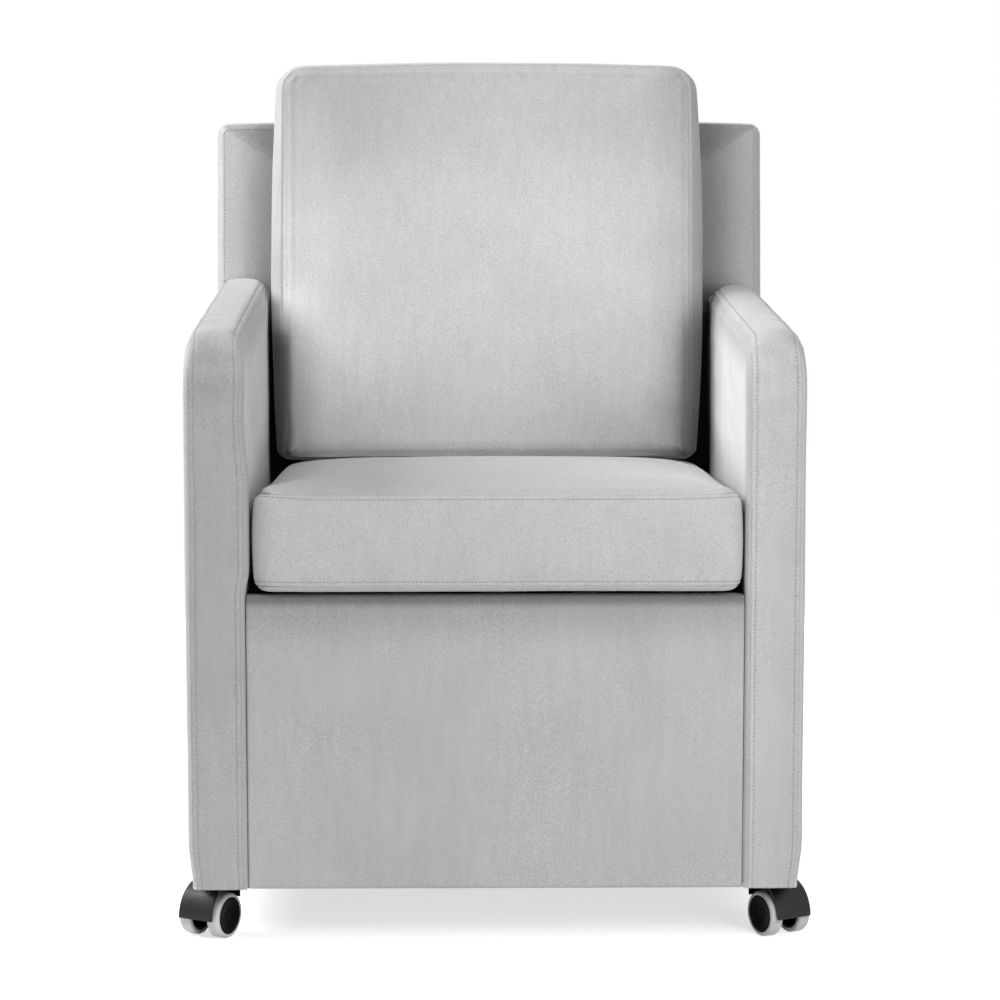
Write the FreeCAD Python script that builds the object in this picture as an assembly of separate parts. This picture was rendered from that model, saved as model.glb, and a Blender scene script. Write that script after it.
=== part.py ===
import FreeCAD
import Part
import math
import os

from FreeCAD import Vector

# Upholstered armchair on four swivel castors. Millimetres, Z up, front towards -Y.
# Pieces are drawn with the arm fronts at Y 0 and moved to the middle of the footprint at the end.

# Overall sizes
CHAIR_WIDTH = 620.0
BASE_HEIGHT = 60.0
ARM_HEIGHT = 626.0
ARM_THICKNESS = 60.0
ARM_LENGTH = 560.0
ARM_FRONT_RADIUS = 38.0
ARM_EDGE_RADIUS = 18.0
BACK_HEIGHT = 809.0
BACK_THICKNESS = 66.0
BACK_LEAN = 8.0
BACK_EDGE_RADIUS = 13.0

# Upholstery layers
COVER = 1.2
EASE = 0.3
SIDE_CROWN = 1.5
CUSHION_SPANS = 4
ARM_FOAM = 7.0
BACK_FOAM = 12.0
SIDE_BOARD = 3.0

# Wooden frame
POST_WIDTH = 60.0
ARM_RAIL_HEIGHT = 40.0
BASE_RAIL_HEIGHT = 45.0
UPRIGHT_WIDTH = 45.0
BACK_RAIL_HEIGHT = 60.0
MIDDLE_RAIL_HEIGHT = 300.0
WEBBING_WIDTH = 50.0
WEBBING_THICKNESS = 1.5
WEBBING_COUNT = 5
WEBBING_LAP = 30.0

# Seat frame and springs
SEAT_TILT = 4.0
SEAT_RAIL_THICKNESS = 25.0
SEAT_RAIL_HEIGHT = 55.0
SPRING_WIRE = 3.6
SPRING_PITCH = 28.0
SPRING_BAR = 34.0
SPRING_COUNT = 5
CLIP_THICKNESS = 1.0
CLIP_TAB = 6.0
CLIP_LENGTH = 24.0
CLIP_SEAT_GAP = 0.1

# Seat cushion
SEAT_NOSE = 10.0
SEAT_FRONT_HEIGHT = 366.0
SEAT_SIDE_GAP = 4.0
SEAT_OFFSET = 2.5
SEAT_LOFT = 104.0
SEAT_CROWN = 10.0
SEAT_ROLL = 18.0
SEAT_ROLL_DROP = 9.0
SEAT_DRAW = 4.0
SEAT_BOW = 3.0
SEAT_TOP_ROUND = 16.0
SEAT_LOW_ROUND = 8.0

# Back cushion
BACK_CUSHION_WIDTH = 476.0
BACK_CUSHION_OFFSET = -4.5
BACK_CUSHION_TOP = 875.0
BACK_CUSHION_LOFT = 88.0
BACK_CUSHION_CROWN = 12.0
BACK_CUSHION_ROLL = 26.0
BACK_CUSHION_ROLL_DROP = 15.0
BACK_CUSHION_DRAW = 3.0
BACK_CUSHION_BOW = 2.0
BACK_CUSHION_TOP_ROUND = 26.0
BACK_CUSHION_LOW_ROUND = 8.0
BACK_CUSHION_SINK = 1.5

# Front panel
FRONT_PANEL_SETBACK = 4.0
FRONT_PANEL_EDGE_RADIUS = 5.0
FRONT_BOARD = 12.0
FRONT_PADDING_ROOM = 5.0
FRONT_PANEL_GAP = 3.7

# Dust cover
DUST_COVER = 0.8
DUST_COVER_MARGIN = 14.0
DUST_COVER_CUTOUT_GAP = 1.0

# Castors
CASTOR_INSET = 27.0
FRONT_CASTOR_SETBACK = 68.0
FRONT_CASTOR_TOE = 30.0
REAR_CASTOR_TOE = 20.0
PLATE_SIZE = 38.0
PLATE_THICKNESS = 2.5
PLATE_CORNER_RADIUS = 4.0
PLATE_HOLE_SPACING = 28.0
SCREW_RADIUS = 1.75
SCREW_HEAD_RADIUS = 3.5
SCREW_LENGTH = 20.0
SCREW_TIP = 3.0
SCREW_RECESS_WIDTH = 0.9
SCREW_RECESS_LENGTH = 4.0
SCREW_RECESS_DEPTH = 1.0
WHEEL_RADIUS = 23.2
WHEEL_WIDTH = 14.0
WHEELS_APART = 20.0
TREAD_THICKNESS = 4.0
TREAD_OUTER_ROUND = 3.2
TREAD_INNER_ROUND = 2.0
HUB_RIM = 2.5
HUB_RIM_SET_IN = 0.5
HUB_BOSS_RADIUS = 6.0
HUB_WEB = 2.5
HUB_DISH = 3.0
AXLE_RADIUS = 3.0
AXLE_END_WALL = 2.0
SNAP_DEPTH = 0.5
SNAP_WIDTH = 1.5
SNAP_SETBACK = 4.0
RUNNING_FIT = 0.05
SIDE_PLAY = 0.3
CASTOR_TRAIL = 17.0
HOOD_REACH = 29.0
HOOD_WIDTH = 40.0
HOOD_WALL = 2.5
HOOD_LIP_DROP = 1.0
HOOD_EDGE_RADIUS = 1.0
HOUSING_TAIL = 12.0
HOUSING_TAIL_ROUND = 5.0
HOUSING_TAIL_DROP = 20.0
HOUSING_WEB = 8.0
AXLE_BOSS_RADIUS = 8.0
KINGPIN_RADIUS = 4.0
KINGPIN_BOSS_RADIUS = 9.5
KINGPIN_LENGTH = 25.0
KINGPIN_FLOOR = 2.5
COLLAR_RADIUS = 6.5
COLLAR_HEIGHT = 0.6
SWIVEL_PLAY = 0.2

# Frame bolts
BOLT_RADIUS = 4.0
BOLT_HEAD_RADIUS = 8.0
BOLT_HEAD_HEIGHT = 4.5
BOLT_HOLE_GAP = 0.4
BOLT_RAIL_GAP = 1.0
BOLT_GRIP = 28.0
BACK_BOLT_ABOVE_BASE_RAIL = 95.0
BACK_BOLT_BELOW_ARM_RAIL = 57.5

# Sizes that follow from the ones above
HALF_WIDTH = CHAIR_WIDTH / 2
ARM_INNER = HALF_WIDTH - ARM_THICKNESS
LEAN_SLOPE = math.tan(math.radians(BACK_LEAN))
LEAN_SINE = math.sin(math.radians(BACK_LEAN))
LEAN_COSINE = math.cos(math.radians(BACK_LEAN))
TILT_SLOPE = math.tan(math.radians(SEAT_TILT))
TILT_SINE = math.sin(math.radians(SEAT_TILT))
TILT_COSINE = math.cos(math.radians(SEAT_TILT))
SKIN = COVER + EASE
ARM_CORE_INSET = SKIN + ARM_FOAM
BACK_CORE_INSET = SKIN + BACK_FOAM
BACK_RISE = (BACK_HEIGHT - ARM_HEIGHT) / LEAN_COSINE
BACK_DROP = (ARM_HEIGHT - BASE_HEIGHT) / LEAN_COSINE + BACK_THICKNESS
BACK_WOOD_FRONT = BACK_CORE_INSET + WEBBING_THICKNESS
BACK_WOOD_REAR = BACK_THICKNESS - BACK_CORE_INSET
UPRIGHT_OUTER = HALF_WIDTH - BACK_CORE_INSET
UPRIGHT_INNER = UPRIGHT_OUTER - UPRIGHT_WIDTH
SPRING_ROOM = SPRING_WIRE + CLIP_THICKNESS + 2 * EASE
SEAT_FRAME_HALF = ARM_INNER - EASE
SEAT_FRAME_INNER = SEAT_FRAME_HALF - SEAT_RAIL_THICKNESS
FRONT_BOARD_FRONT = FRONT_PANEL_SETBACK + SKIN + FRONT_PADDING_ROOM
FRONT_BOARD_REAR = FRONT_BOARD_FRONT + FRONT_BOARD
SEAT_FRAME_FRONT = FRONT_BOARD_REAR + EASE
CASTOR_SIDE = HALF_WIDTH - CASTOR_INSET
PLATE_BOTTOM = BASE_HEIGHT - PLATE_THICKNESS
HOUSING_TOP = PLATE_BOTTOM - COLLAR_HEIGHT - SWIVEL_PLAY
HUB_RADIUS = WHEEL_RADIUS - TREAD_THICKNESS
WHEEL_NEAR = WHEELS_APART / 2
WHEEL_FAR = WHEEL_NEAR + WHEEL_WIDTH
AXLE_BOSS_HALF = WHEEL_NEAR - HUB_RIM_SET_IN
AXLE_END = WHEEL_FAR - HUB_DISH - AXLE_END_WALL - SIDE_PLAY
TOUCH = 0.01
OVERSHOOT = 60.0


def back_face(height):
    """Y of the back panel's front face at a height above the floor."""
    return ARM_LENGTH + (height - ARM_HEIGHT) * LEAN_SLOPE


def arm_rear(height):
    """Y where an arm panel ends against the back panel."""
    return back_face(height) - EASE


def seat_line(y):
    """Height of the seat cushion's underside at a distance behind the arm fronts."""
    return SEAT_FRONT_HEIGHT - (y + SEAT_NOSE) * TILT_SLOPE


def rail_top(y):
    """Height of the seat rails' upper faces."""
    return seat_line(y) - SPRING_ROOM / TILT_COSINE


def lean_point(x, depth, rise):
    """Point of the back: depth behind its front face, rise along it from the arm height."""
    y = ARM_LENGTH + depth * LEAN_COSINE + rise * LEAN_SINE
    z = ARM_HEIGHT - depth * LEAN_SINE + rise * LEAN_COSINE
    return Vector(x, y, z)


def seat_point(x, along, up):
    """Point of the seat: along it from the nose, up from the cushion's underside."""
    y = -SEAT_NOSE + along * TILT_COSINE + up * TILT_SINE
    z = SEAT_FRONT_HEIGHT - along * TILT_SINE + up * TILT_COSINE
    return Vector(x, y, z)


def box(x0, x1, y0, y1, z0, z1):
    """Box between two corners."""
    return Part.makeBox(x1 - x0, y1 - y0, z1 - z0, Vector(x0, y0, z0))


def line(start, end):
    """Straight edge."""
    return Part.LineSegment(start, end).toShape()


def arc(start, middle, end):
    """Round edge through three points."""
    return Part.Arc(start, middle, end).toShape()


def bite(radius):
    """How far the middle of a quarter round stays inside its corner, on each axis."""
    return radius * (1 - math.sqrt(0.5))


def slab(outline, x0, x1):
    """Solid with a Y-Z outline of straight sides, between two X planes."""
    corners = [Vector(x0, y, z) for y, z in outline]
    wire = Part.makePolygon(corners + corners[:1])
    return Part.Face(wire).extrude(Vector(x1 - x0, 0, 0))


def across(side, near, far):
    """X range of a piece between two distances from the middle, on one side of the chair."""
    return (near, far) if side > 0 else (-far, -near)


def arm_block(side, inset, past=0.0, board_inset=0.0):
    """Arm panel drawn in on its front, top and sides, and lengthened past its base and rear."""
    x0, x1 = across(side, ARM_INNER + inset + board_inset, HALF_WIDTH - inset - board_inset)
    front = inset
    top = ARM_HEIGHT - inset
    base = BASE_HEIGHT - past
    radius = ARM_FRONT_RADIUS - inset
    base_front = Vector(x0, front, base)
    arc_start = Vector(x0, front, top - radius)
    arc_middle = Vector(x0, front + bite(radius), top - bite(radius))
    arc_end = Vector(x0, front + radius, top)
    top_rear = Vector(x0, arm_rear(top) + past, top)
    base_rear = Vector(x0, arm_rear(base) + past, base)
    edges = [
        line(base_front, arc_start),
        arc(arc_start, arc_middle, arc_end),
        line(arc_end, top_rear),
        line(top_rear, base_rear),
        line(base_rear, base_front),
    ]
    return Part.Face(Part.Wire(edges)).extrude(Vector(x1 - x0, 0, 0))


def round_arm(block, inset):
    """Arm panel with its front and top edges rounded on both sides."""
    top = ARM_HEIGHT - inset
    chosen = []
    for edge in block.Edges:
        bounds = edge.BoundBox
        along_side = bounds.XLength < TOUCH
        on_front = bounds.YMin < inset + TOUCH and bounds.ZLength > TOUCH
        on_top = bounds.ZMin > top - TOUCH
        if along_side and (on_front or on_top):
            chosen.append(edge)
    return block.makeFillet(ARM_EDGE_RADIUS - inset, chosen)


def arm_cover(side):
    """Sewn velour cover of an arm panel, open underneath and at the rear."""
    outside = round_arm(arm_block(side, 0.0), 0.0)
    inside = round_arm(arm_block(side, COVER, OVERSHOOT), COVER)
    return outside.cut(inside)


def arm_foam(side):
    """Foam sheet wrapped over the front, top and sides of an arm frame."""
    outside = round_arm(arm_block(side, SKIN), SKIN)
    return outside.cut(arm_block(side, ARM_CORE_INSET, OVERSHOOT))


def arm_boards(side):
    """Two thin boards that close the sides of an arm frame."""
    core = arm_block(side, ARM_CORE_INSET)
    return core.cut(arm_block(side, ARM_CORE_INSET, OVERSHOOT, SIDE_BOARD)).Solids


def arm_frame(side):
    """The four wooden members of an arm panel, by name."""
    core = arm_block(side, ARM_CORE_INSET)
    x0, x1 = across(
        side,
        ARM_INNER + ARM_CORE_INSET + SIDE_BOARD,
        HALF_WIDTH - ARM_CORE_INSET - SIDE_BOARD,
    )
    front = ARM_CORE_INSET
    top = ARM_HEIGHT - ARM_CORE_INSET
    rail_bottom = top - ARM_RAIL_HEIGHT
    base_top = BASE_HEIGHT + BASE_RAIL_HEIGHT
    arm_rail = core.common(box(x0, x1, front, ARM_LENGTH + OVERSHOOT, rail_bottom, top))
    front_post = box(x0, x1, front, front + POST_WIDTH, BASE_HEIGHT, rail_bottom)
    rear_post = slab(
        [
            (arm_rear(BASE_HEIGHT) - POST_WIDTH, BASE_HEIGHT),
            (arm_rear(BASE_HEIGHT), BASE_HEIGHT),
            (arm_rear(rail_bottom), rail_bottom),
            (arm_rear(rail_bottom) - POST_WIDTH, rail_bottom),
        ],
        x0,
        x1,
    )
    base_rail = slab(
        [
            (front + POST_WIDTH, BASE_HEIGHT),
            (arm_rear(BASE_HEIGHT) - POST_WIDTH, BASE_HEIGHT),
            (arm_rear(base_top) - POST_WIDTH, base_top),
            (front + POST_WIDTH, base_top),
        ],
        x0,
        x1,
    )
    return {
        "arm_rail": arm_rail,
        "front_post": front_post,
        "rear_post": rear_post,
        "base_rail": base_rail,
    }


def leaned(shape):
    """Piece drawn upright on the back's own axes, leaned into place and cut off at the base."""
    placed = shape.copy()
    placed.rotate(Vector(0, 0, 0), Vector(1, 0, 0), -BACK_LEAN)
    placed.translate(Vector(0, ARM_LENGTH, ARM_HEIGHT))
    reach = CHAIR_WIDTH + BACK_HEIGHT
    below = box(-reach, reach, -reach, reach, BASE_HEIGHT - reach, BASE_HEIGHT)
    return placed.cut(below)


def back_block(inset, past=0.0):
    """Back panel on its own axes, drawn in all round and lengthened downwards."""
    half = HALF_WIDTH - inset
    return box(-half, half, inset, BACK_THICKNESS - inset, -BACK_DROP - past, BACK_RISE - inset)


def round_back(block, inset):
    """Back panel with all edges rounded but those of its foot."""
    foot = block.BoundBox.ZMin
    chosen = [edge for edge in block.Edges if edge.BoundBox.ZMax > foot + TOUCH]
    return block.makeFillet(BACK_EDGE_RADIUS - inset, chosen)


def back_cover():
    """Sewn velour cover of the back panel, open underneath."""
    outside = round_back(back_block(0.0), 0.0)
    inside = round_back(back_block(COVER, OVERSHOOT), COVER)
    return leaned(outside.cut(inside))


def back_foam():
    """Foam sheet wrapped round the back frame."""
    outside = round_back(back_block(SKIN), SKIN)
    return leaned(outside.cut(back_block(BACK_CORE_INSET, OVERSHOOT)))


def back_member(x0, x1, z0, z1):
    """Wooden member of the back frame, on the back's own axes."""
    return leaned(box(x0, x1, BACK_WOOD_FRONT, BACK_WOOD_REAR, z0, z1))


def back_frame():
    """Wooden members of the back panel, by name."""
    top = BACK_RISE - BACK_CORE_INSET
    seat_level = (MIDDLE_RAIL_HEIGHT - ARM_HEIGHT) / LEAN_COSINE
    foot = -BACK_DROP
    foot_top = (BASE_HEIGHT - ARM_HEIGHT) / LEAN_COSINE + BACK_RAIL_HEIGHT
    uprights = []
    for side in (-1, 1):
        x0, x1 = across(side, UPRIGHT_INNER, UPRIGHT_OUTER)
        uprights.append(back_member(x0, x1, foot, top))
    half = UPRIGHT_INNER
    return {
        "back_uprights": uprights,
        "back_top_rail": [back_member(-half, half, top - BACK_RAIL_HEIGHT, top)],
        "back_middle_rail": [back_member(-half, half, seat_level, seat_level + BACK_RAIL_HEIGHT)],
        "back_bottom_rail": [back_member(-half, half, foot, foot_top)],
    }


def back_webbing():
    """Elastic straps stapled across the front of the uprights."""
    half = UPRIGHT_INNER + WEBBING_LAP
    low = (MIDDLE_RAIL_HEIGHT - ARM_HEIGHT) / LEAN_COSINE + BACK_RAIL_HEIGHT
    high = BACK_RISE - BACK_CORE_INSET - BACK_RAIL_HEIGHT
    step = (high - low) / WEBBING_COUNT
    straps = []
    for index in range(WEBBING_COUNT):
        middle = low + step * (index + 0.5)
        straps.append(
            leaned(
                box(
                    -half,
                    half,
                    BACK_CORE_INSET,
                    BACK_WOOD_FRONT,
                    middle - WEBBING_WIDTH / 2,
                    middle + WEBBING_WIDTH / 2,
                )
            )
        )
    return straps


def seat_frame_rear():
    """Y where the seat frame ends, just before the leaning back panel."""
    return back_face(rail_top(ARM_LENGTH) - SEAT_RAIL_HEIGHT) - EASE


def seat_rails():
    """Rails of the seat frame, by name, with upright faces and sloping edges."""
    front = SEAT_FRAME_FRONT
    rear = seat_frame_rear()

    def rail(y0, y1, x0, x1):
        outline = [
            (y0, rail_top(y0) - SEAT_RAIL_HEIGHT),
            (y1, rail_top(y1) - SEAT_RAIL_HEIGHT),
            (y1, rail_top(y1)),
            (y0, rail_top(y0)),
        ]
        return slab(outline, x0, x1)

    sides = []
    for side in (-1, 1):
        x0, x1 = across(side, SEAT_FRAME_INNER, SEAT_FRAME_HALF)
        sides.append(rail(front, rear, x0, x1))
    half = SEAT_FRAME_INNER
    return {
        "seat_side_rails": sides,
        "seat_front_rail": [rail(front, front + SEAT_RAIL_THICKNESS, -half, half)],
        "seat_rear_rail": [rail(rear - SEAT_RAIL_THICKNESS, rear, -half, half)],
    }


def spring_places():
    """X of each seat spring, spread evenly between the side rails."""
    step = 2 * SEAT_FRAME_INNER / SPRING_COUNT
    return [-SEAT_FRAME_INNER + step * (index + 0.5) for index in range(SPRING_COUNT)]


def spring_run():
    """First and last bar of a spring along the seat, and the number of bends between them."""
    first = (SEAT_FRAME_FRONT + SEAT_RAIL_THICKNESS / 2 + SEAT_NOSE) / TILT_COSINE
    last = (seat_frame_rear() - SEAT_RAIL_THICKNESS / 2 + SEAT_NOSE) / TILT_COSINE
    bends = 2 * int((last - first) / SPRING_PITCH / 2)
    return first, last, bends


def seat_spring(x):
    """Sinuous spring: straight bars joined by half turns, lying on the front and rear rails."""
    first, last, bends = spring_run()
    pitch = (last - first) / bends
    radius = pitch / 2
    diagonal = radius * math.sqrt(0.5)
    half = SPRING_BAR / 2
    level = -SPRING_ROOM + SPRING_WIRE / 2 + TOUCH
    edges = []
    turn = 1
    for index in range(bends + 1):
        along = first + index * pitch
        start = seat_point(x + turn * half, along, level)
        edges.append(line(seat_point(x - turn * half, along, level), start))
        if index == bends:
            break
        centre = along + radius
        lower = seat_point(x + turn * (half + diagonal), centre - diagonal, level)
        crest = seat_point(x + turn * (half + radius), centre, level)
        upper = seat_point(x + turn * (half + diagonal), centre + diagonal, level)
        end = seat_point(x + turn * half, centre + radius, level)
        edges.append(arc(start, lower, crest))
        edges.append(arc(crest, upper, end))
        turn = -turn
    path = Part.Wire(edges)
    begin = seat_point(x - half, first, level)
    circle = Part.Circle(begin, Vector(1, 0, 0), SPRING_WIRE / 2).toShape()
    return path.makePipeShell([Part.Wire([circle])], True, False)


def spring_clip(x, along):
    """Strap over the end bar of a spring, with a tab on the rail before and behind it."""
    length = CLIP_LENGTH
    floor = CLIP_SEAT_GAP - SPRING_ROOM
    level = floor + SPRING_WIRE / 2
    hole = SPRING_WIRE / 2 + EASE / 2
    outer = hole + CLIP_THICKNESS
    start = seat_point(x - length / 2, along, level)
    saddle = Part.makeCylinder(outer, length, start, Vector(1, 0, 0))
    tabs = box(-length / 2, length / 2, -outer - CLIP_TAB, outer + CLIP_TAB, 0, CLIP_THICKNESS)
    below = box(-length, length, -2 * outer, 2 * outer, -2 * outer, 0)
    middle = seat_point(x, along, floor)
    for piece in (tabs, below):
        piece.rotate(Vector(0, 0, 0), Vector(1, 0, 0), -SEAT_TILT)
        piece.translate(middle)
    bore = Part.makeCylinder(hole, 2 * length, seat_point(x - length, along, level), Vector(1, 0, 0))
    return saddle.fuse(tabs).cut(bore).cut(below).removeSplitter()


def cushion_section(point, x, half, length, loft, form, inset):
    """Outline of a cushion at one place across its width, of lines and shallow arcs."""
    low_round = max(form["low_round"] - inset, COVER)
    top_round = max(form["top_round"] - inset, COVER)
    low_bite = bite(low_round)
    top_bite = bite(top_round)
    share = x / half
    past_roll = max(0.0, abs(x) - (half - form["roll"])) / form["roll"]
    pull = form["roll_drop"] * (1 - math.sqrt(max(0.0, 1 - past_roll * past_roll)))
    crown = SIDE_CROWN + (form["crown"] - SIDE_CROWN) * (1 - share * share)
    near = inset + form["bow"] + pull + form["draw"] * share * share
    far = length - inset - form["bow"] - pull
    base = inset
    top = loft - inset - pull
    slope = form["near_slant"] / loft
    low_near = near - slope * (base + low_round)
    high_near = near - slope * (top - top_round)
    edge_near = near - slope * top

    def at(along, up):
        return point(x, along, up)

    corners = [
        at(low_near + low_round, base),
        at(far - low_round, base),
        at(far, base + low_round),
        at(far, top - top_round),
        at(far - top_round, top),
        at(edge_near + top_round, top),
        at(high_near, top - top_round),
        at(low_near, base + low_round),
    ]
    middles = [
        at(far - low_bite, base + low_bite),
        at(far + form["bow"], (base + top) / 2),
        at(far - top_bite, top - top_bite),
        at((edge_near + far) / 2, top + crown),
        at(edge_near + top_bite, top - top_bite),
        at((low_near + high_near) / 2 - form["bow"], (base + top) / 2),
        at(low_near + low_bite, base + low_bite),
    ]
    edges = [line(corners[0], corners[1])]
    for index, middle in enumerate(middles):
        edges.append(arc(corners[index + 1], middle, corners[(index + 2) % len(corners)]))
    return Part.Wire(edges)


def cushion(point, half_width, length, loft, form, inset):
    """Crowned pad: a middle stretch and two rolled sides, each lofted across the width."""
    half = half_width - inset
    flat = half - form["roll"]
    runs = [(-half, -flat), (-flat, flat), (flat, half)]
    stretches = []
    for start, end in runs:
        step = (end - start) / CUSHION_SPANS
        places = [start + index * step for index in range(CUSHION_SPANS + 1)]
        wires = [cushion_section(point, x, half, length, loft, form, inset) for x in places]
        stretches.append(Part.makeLoft(wires, True, False))
    return stretches[1].fuse([stretches[0], stretches[2]])


SEAT_FORM = {
    "crown": SEAT_CROWN,
    "roll": SEAT_ROLL,
    "roll_drop": SEAT_ROLL_DROP,
    "draw": SEAT_DRAW,
    "bow": SEAT_BOW,
    "top_round": SEAT_TOP_ROUND,
    "low_round": SEAT_LOW_ROUND,
    "near_slant": 0.0,
}


def seat_length():
    """Length of the seat cushion, from its nose to just before the back panel."""
    foot = seat_line(ARM_LENGTH)
    return (back_face(foot) - EASE + SEAT_NOSE) / TILT_COSINE


def seat_cushion(inset):
    """Seat cushion's form, lying a little to one side between the arms, drawn in by an inset."""

    def point(x, along, up):
        return seat_point(SEAT_OFFSET + x, along, up)

    half = ARM_INNER - SEAT_SIDE_GAP
    return cushion(point, half, seat_length(), SEAT_LOFT, SEAT_FORM, inset)


def seat_crest(along):
    """Height of the seat cushion's crowned top above its underside, at its middle."""
    half = seat_length() / 2
    share = (along - half) / half
    return SEAT_LOFT + SEAT_CROWN * (1 - share * share)


def back_cushion_foot():
    """Rise on the back where the cushion's rear foot settles on the seat cushion's rounded end."""
    along = seat_length()
    seat_top = seat_point(0, along, seat_crest(along) - BACK_CUSHION_SINK)
    return (seat_top.z - ARM_HEIGHT) / LEAN_COSINE


def back_cushion_form():
    """Roundings of the back cushion; its foot follows the seat under it."""
    slant = BACK_CUSHION_LOFT * math.tan(math.radians(BACK_LEAN - SEAT_TILT))
    front = seat_length() - BACK_CUSHION_LOFT
    slant -= seat_crest(front) - seat_crest(seat_length())
    return {
        "crown": BACK_CUSHION_CROWN,
        "roll": BACK_CUSHION_ROLL,
        "roll_drop": BACK_CUSHION_ROLL_DROP,
        "draw": BACK_CUSHION_DRAW,
        "bow": BACK_CUSHION_BOW,
        "top_round": BACK_CUSHION_TOP_ROUND,
        "low_round": BACK_CUSHION_LOW_ROUND,
        "near_slant": slant,
    }


def back_cushion(inset):
    """Back cushion's form, standing on the seat against the back panel, drawn in by an inset."""
    foot = back_cushion_foot()
    turn = BACK_CUSHION_TOP_ROUND
    crest = BACK_CUSHION_TOP - turn - (EASE + BACK_CUSHION_LOFT - turn) * LEAN_SINE
    head = (crest - ARM_HEIGHT) / LEAN_COSINE + turn + BACK_CUSHION_BOW

    def point(x, along, up):
        return lean_point(BACK_CUSHION_OFFSET + x, -EASE - up, foot + along)

    half = BACK_CUSHION_WIDTH / 2
    return cushion(point, half, head - foot, BACK_CUSHION_LOFT, back_cushion_form(), inset)


def sewn_cover(form):
    """Velour cover of a cushion: its outer form less the room inside."""
    return form(0.0).cut(form(COVER))


def front_panel_top():
    """Height of the front panel's upper edge, a little below the seat cushion."""
    return seat_line(FRONT_BOARD_REAR) - FRONT_PANEL_GAP


def front_panel_cover():
    """Velour front of the chair below the seat, wrapped over its board."""
    half = ARM_INNER - EASE
    top = front_panel_top()
    outside = box(-half, half, FRONT_PANEL_SETBACK, FRONT_BOARD_REAR, BASE_HEIGHT, top)
    chosen = []
    for edge in outside.Edges:
        bounds = edge.BoundBox
        on_front = bounds.YMax < FRONT_PANEL_SETBACK + TOUCH
        if on_front and bounds.ZMax > BASE_HEIGHT + TOUCH:
            chosen.append(edge)
    outside = outside.makeFillet(FRONT_PANEL_EDGE_RADIUS, chosen)
    room = box(
        -half + SKIN,
        half - SKIN,
        FRONT_BOARD_FRONT,
        FRONT_BOARD_REAR + OVERSHOOT,
        BASE_HEIGHT - OVERSHOOT,
        top - SKIN,
    )
    return outside.cut(room)


def front_panel_board():
    """Board behind the front cover."""
    half = ARM_INNER - EASE - SKIN
    top = front_panel_top() - SKIN
    return box(-half, half, FRONT_BOARD_FRONT, FRONT_BOARD_REAR, BASE_HEIGHT, top)


def castor_places():
    """Name, X, Y and turn of each castor; the turn is that of its hood from +X, in degrees."""
    rear = back_face(BASE_HEIGHT) + (BACK_WOOD_FRONT + BACK_WOOD_REAR) / 2 / LEAN_COSINE
    places = []
    for end, y, toe in (("front", FRONT_CASTOR_SETBACK, FRONT_CASTOR_TOE), ("rear", rear, REAR_CASTOR_TOE)):
        for name, side in (("left", -1), ("right", 1)):
            places.append((f"{end}_{name}", side * CASTOR_SIDE, y, -90.0 + side * toe, side))
    return places


def castor_placed(shape, x, y, turn):
    """Castor piece drawn with its kingpin at the origin and its hood towards +X, set in place."""
    placed = shape.copy()
    placed.rotate(Vector(0, 0, 0), Vector(0, 0, 1), turn)
    placed.translate(Vector(x, y, 0))
    return placed


def screw(x, y):
    """Countersunk cross-head screw pointing up, its head flush with the plate's underside."""
    head_height = SCREW_HEAD_RADIUS - SCREW_RADIUS
    start = Vector(x, y, PLATE_BOTTOM)
    shank_top = PLATE_BOTTOM + SCREW_LENGTH - SCREW_TIP
    head = Part.makeCone(SCREW_HEAD_RADIUS, SCREW_RADIUS, head_height, start)
    shank = Part.makeCylinder(SCREW_RADIUS, SCREW_LENGTH - SCREW_TIP, start)
    tip = Part.makeCone(SCREW_RADIUS, 0, SCREW_TIP, Vector(x, y, shank_top))
    return head.fuse([shank, tip]).removeSplitter()


def screw_recess(x, y):
    """Cross recess in a screw's head."""
    long = SCREW_RECESS_LENGTH / 2
    slim = SCREW_RECESS_WIDTH / 2
    z0 = PLATE_BOTTOM - TOUCH
    z1 = PLATE_BOTTOM + SCREW_RECESS_DEPTH
    first = box(x - long, x + long, y - slim, y + slim, z0, z1)
    second = box(x - slim, x + slim, y - long, y + long, z0, z1)
    return first.fuse(second)


def screw_places(x, y):
    """Centres of a castor plate's four screws."""
    offset = PLATE_HOLE_SPACING / 2
    return [(x + i * offset, y + j * offset) for i in (-1, 1) for j in (-1, 1)]


def kingpin_profile():
    """Radius and height pairs of the kingpin, with the groove that the housing snaps into."""
    foot = HOUSING_TOP - KINGPIN_LENGTH
    low = foot + SNAP_SETBACK
    high = low + SNAP_WIDTH
    neck = KINGPIN_RADIUS - SNAP_DEPTH
    return foot, low, high, neck


def turned(outline):
    """Solid turned about the Z axis from radius and height pairs."""
    corners = [Vector(radius, 0, height) for radius, height in outline]
    face = Part.Face(Part.makePolygon(corners + corners[:1]))
    return face.revolve(Vector(0, 0, 0), Vector(0, 0, 1), 360)


def castor_plate(x, y):
    """Steel top plate with its four countersunk holes."""
    half = PLATE_SIZE / 2
    plate = box(x - half, x + half, y - half, y + half, PLATE_BOTTOM, BASE_HEIGHT)
    corners = [edge for edge in plate.Edges if edge.BoundBox.ZLength > TOUCH]
    plate = plate.makeFillet(PLATE_CORNER_RADIUS, corners)
    return plate.cut([screw(i, j) for i, j in screw_places(x, y)])


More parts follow.
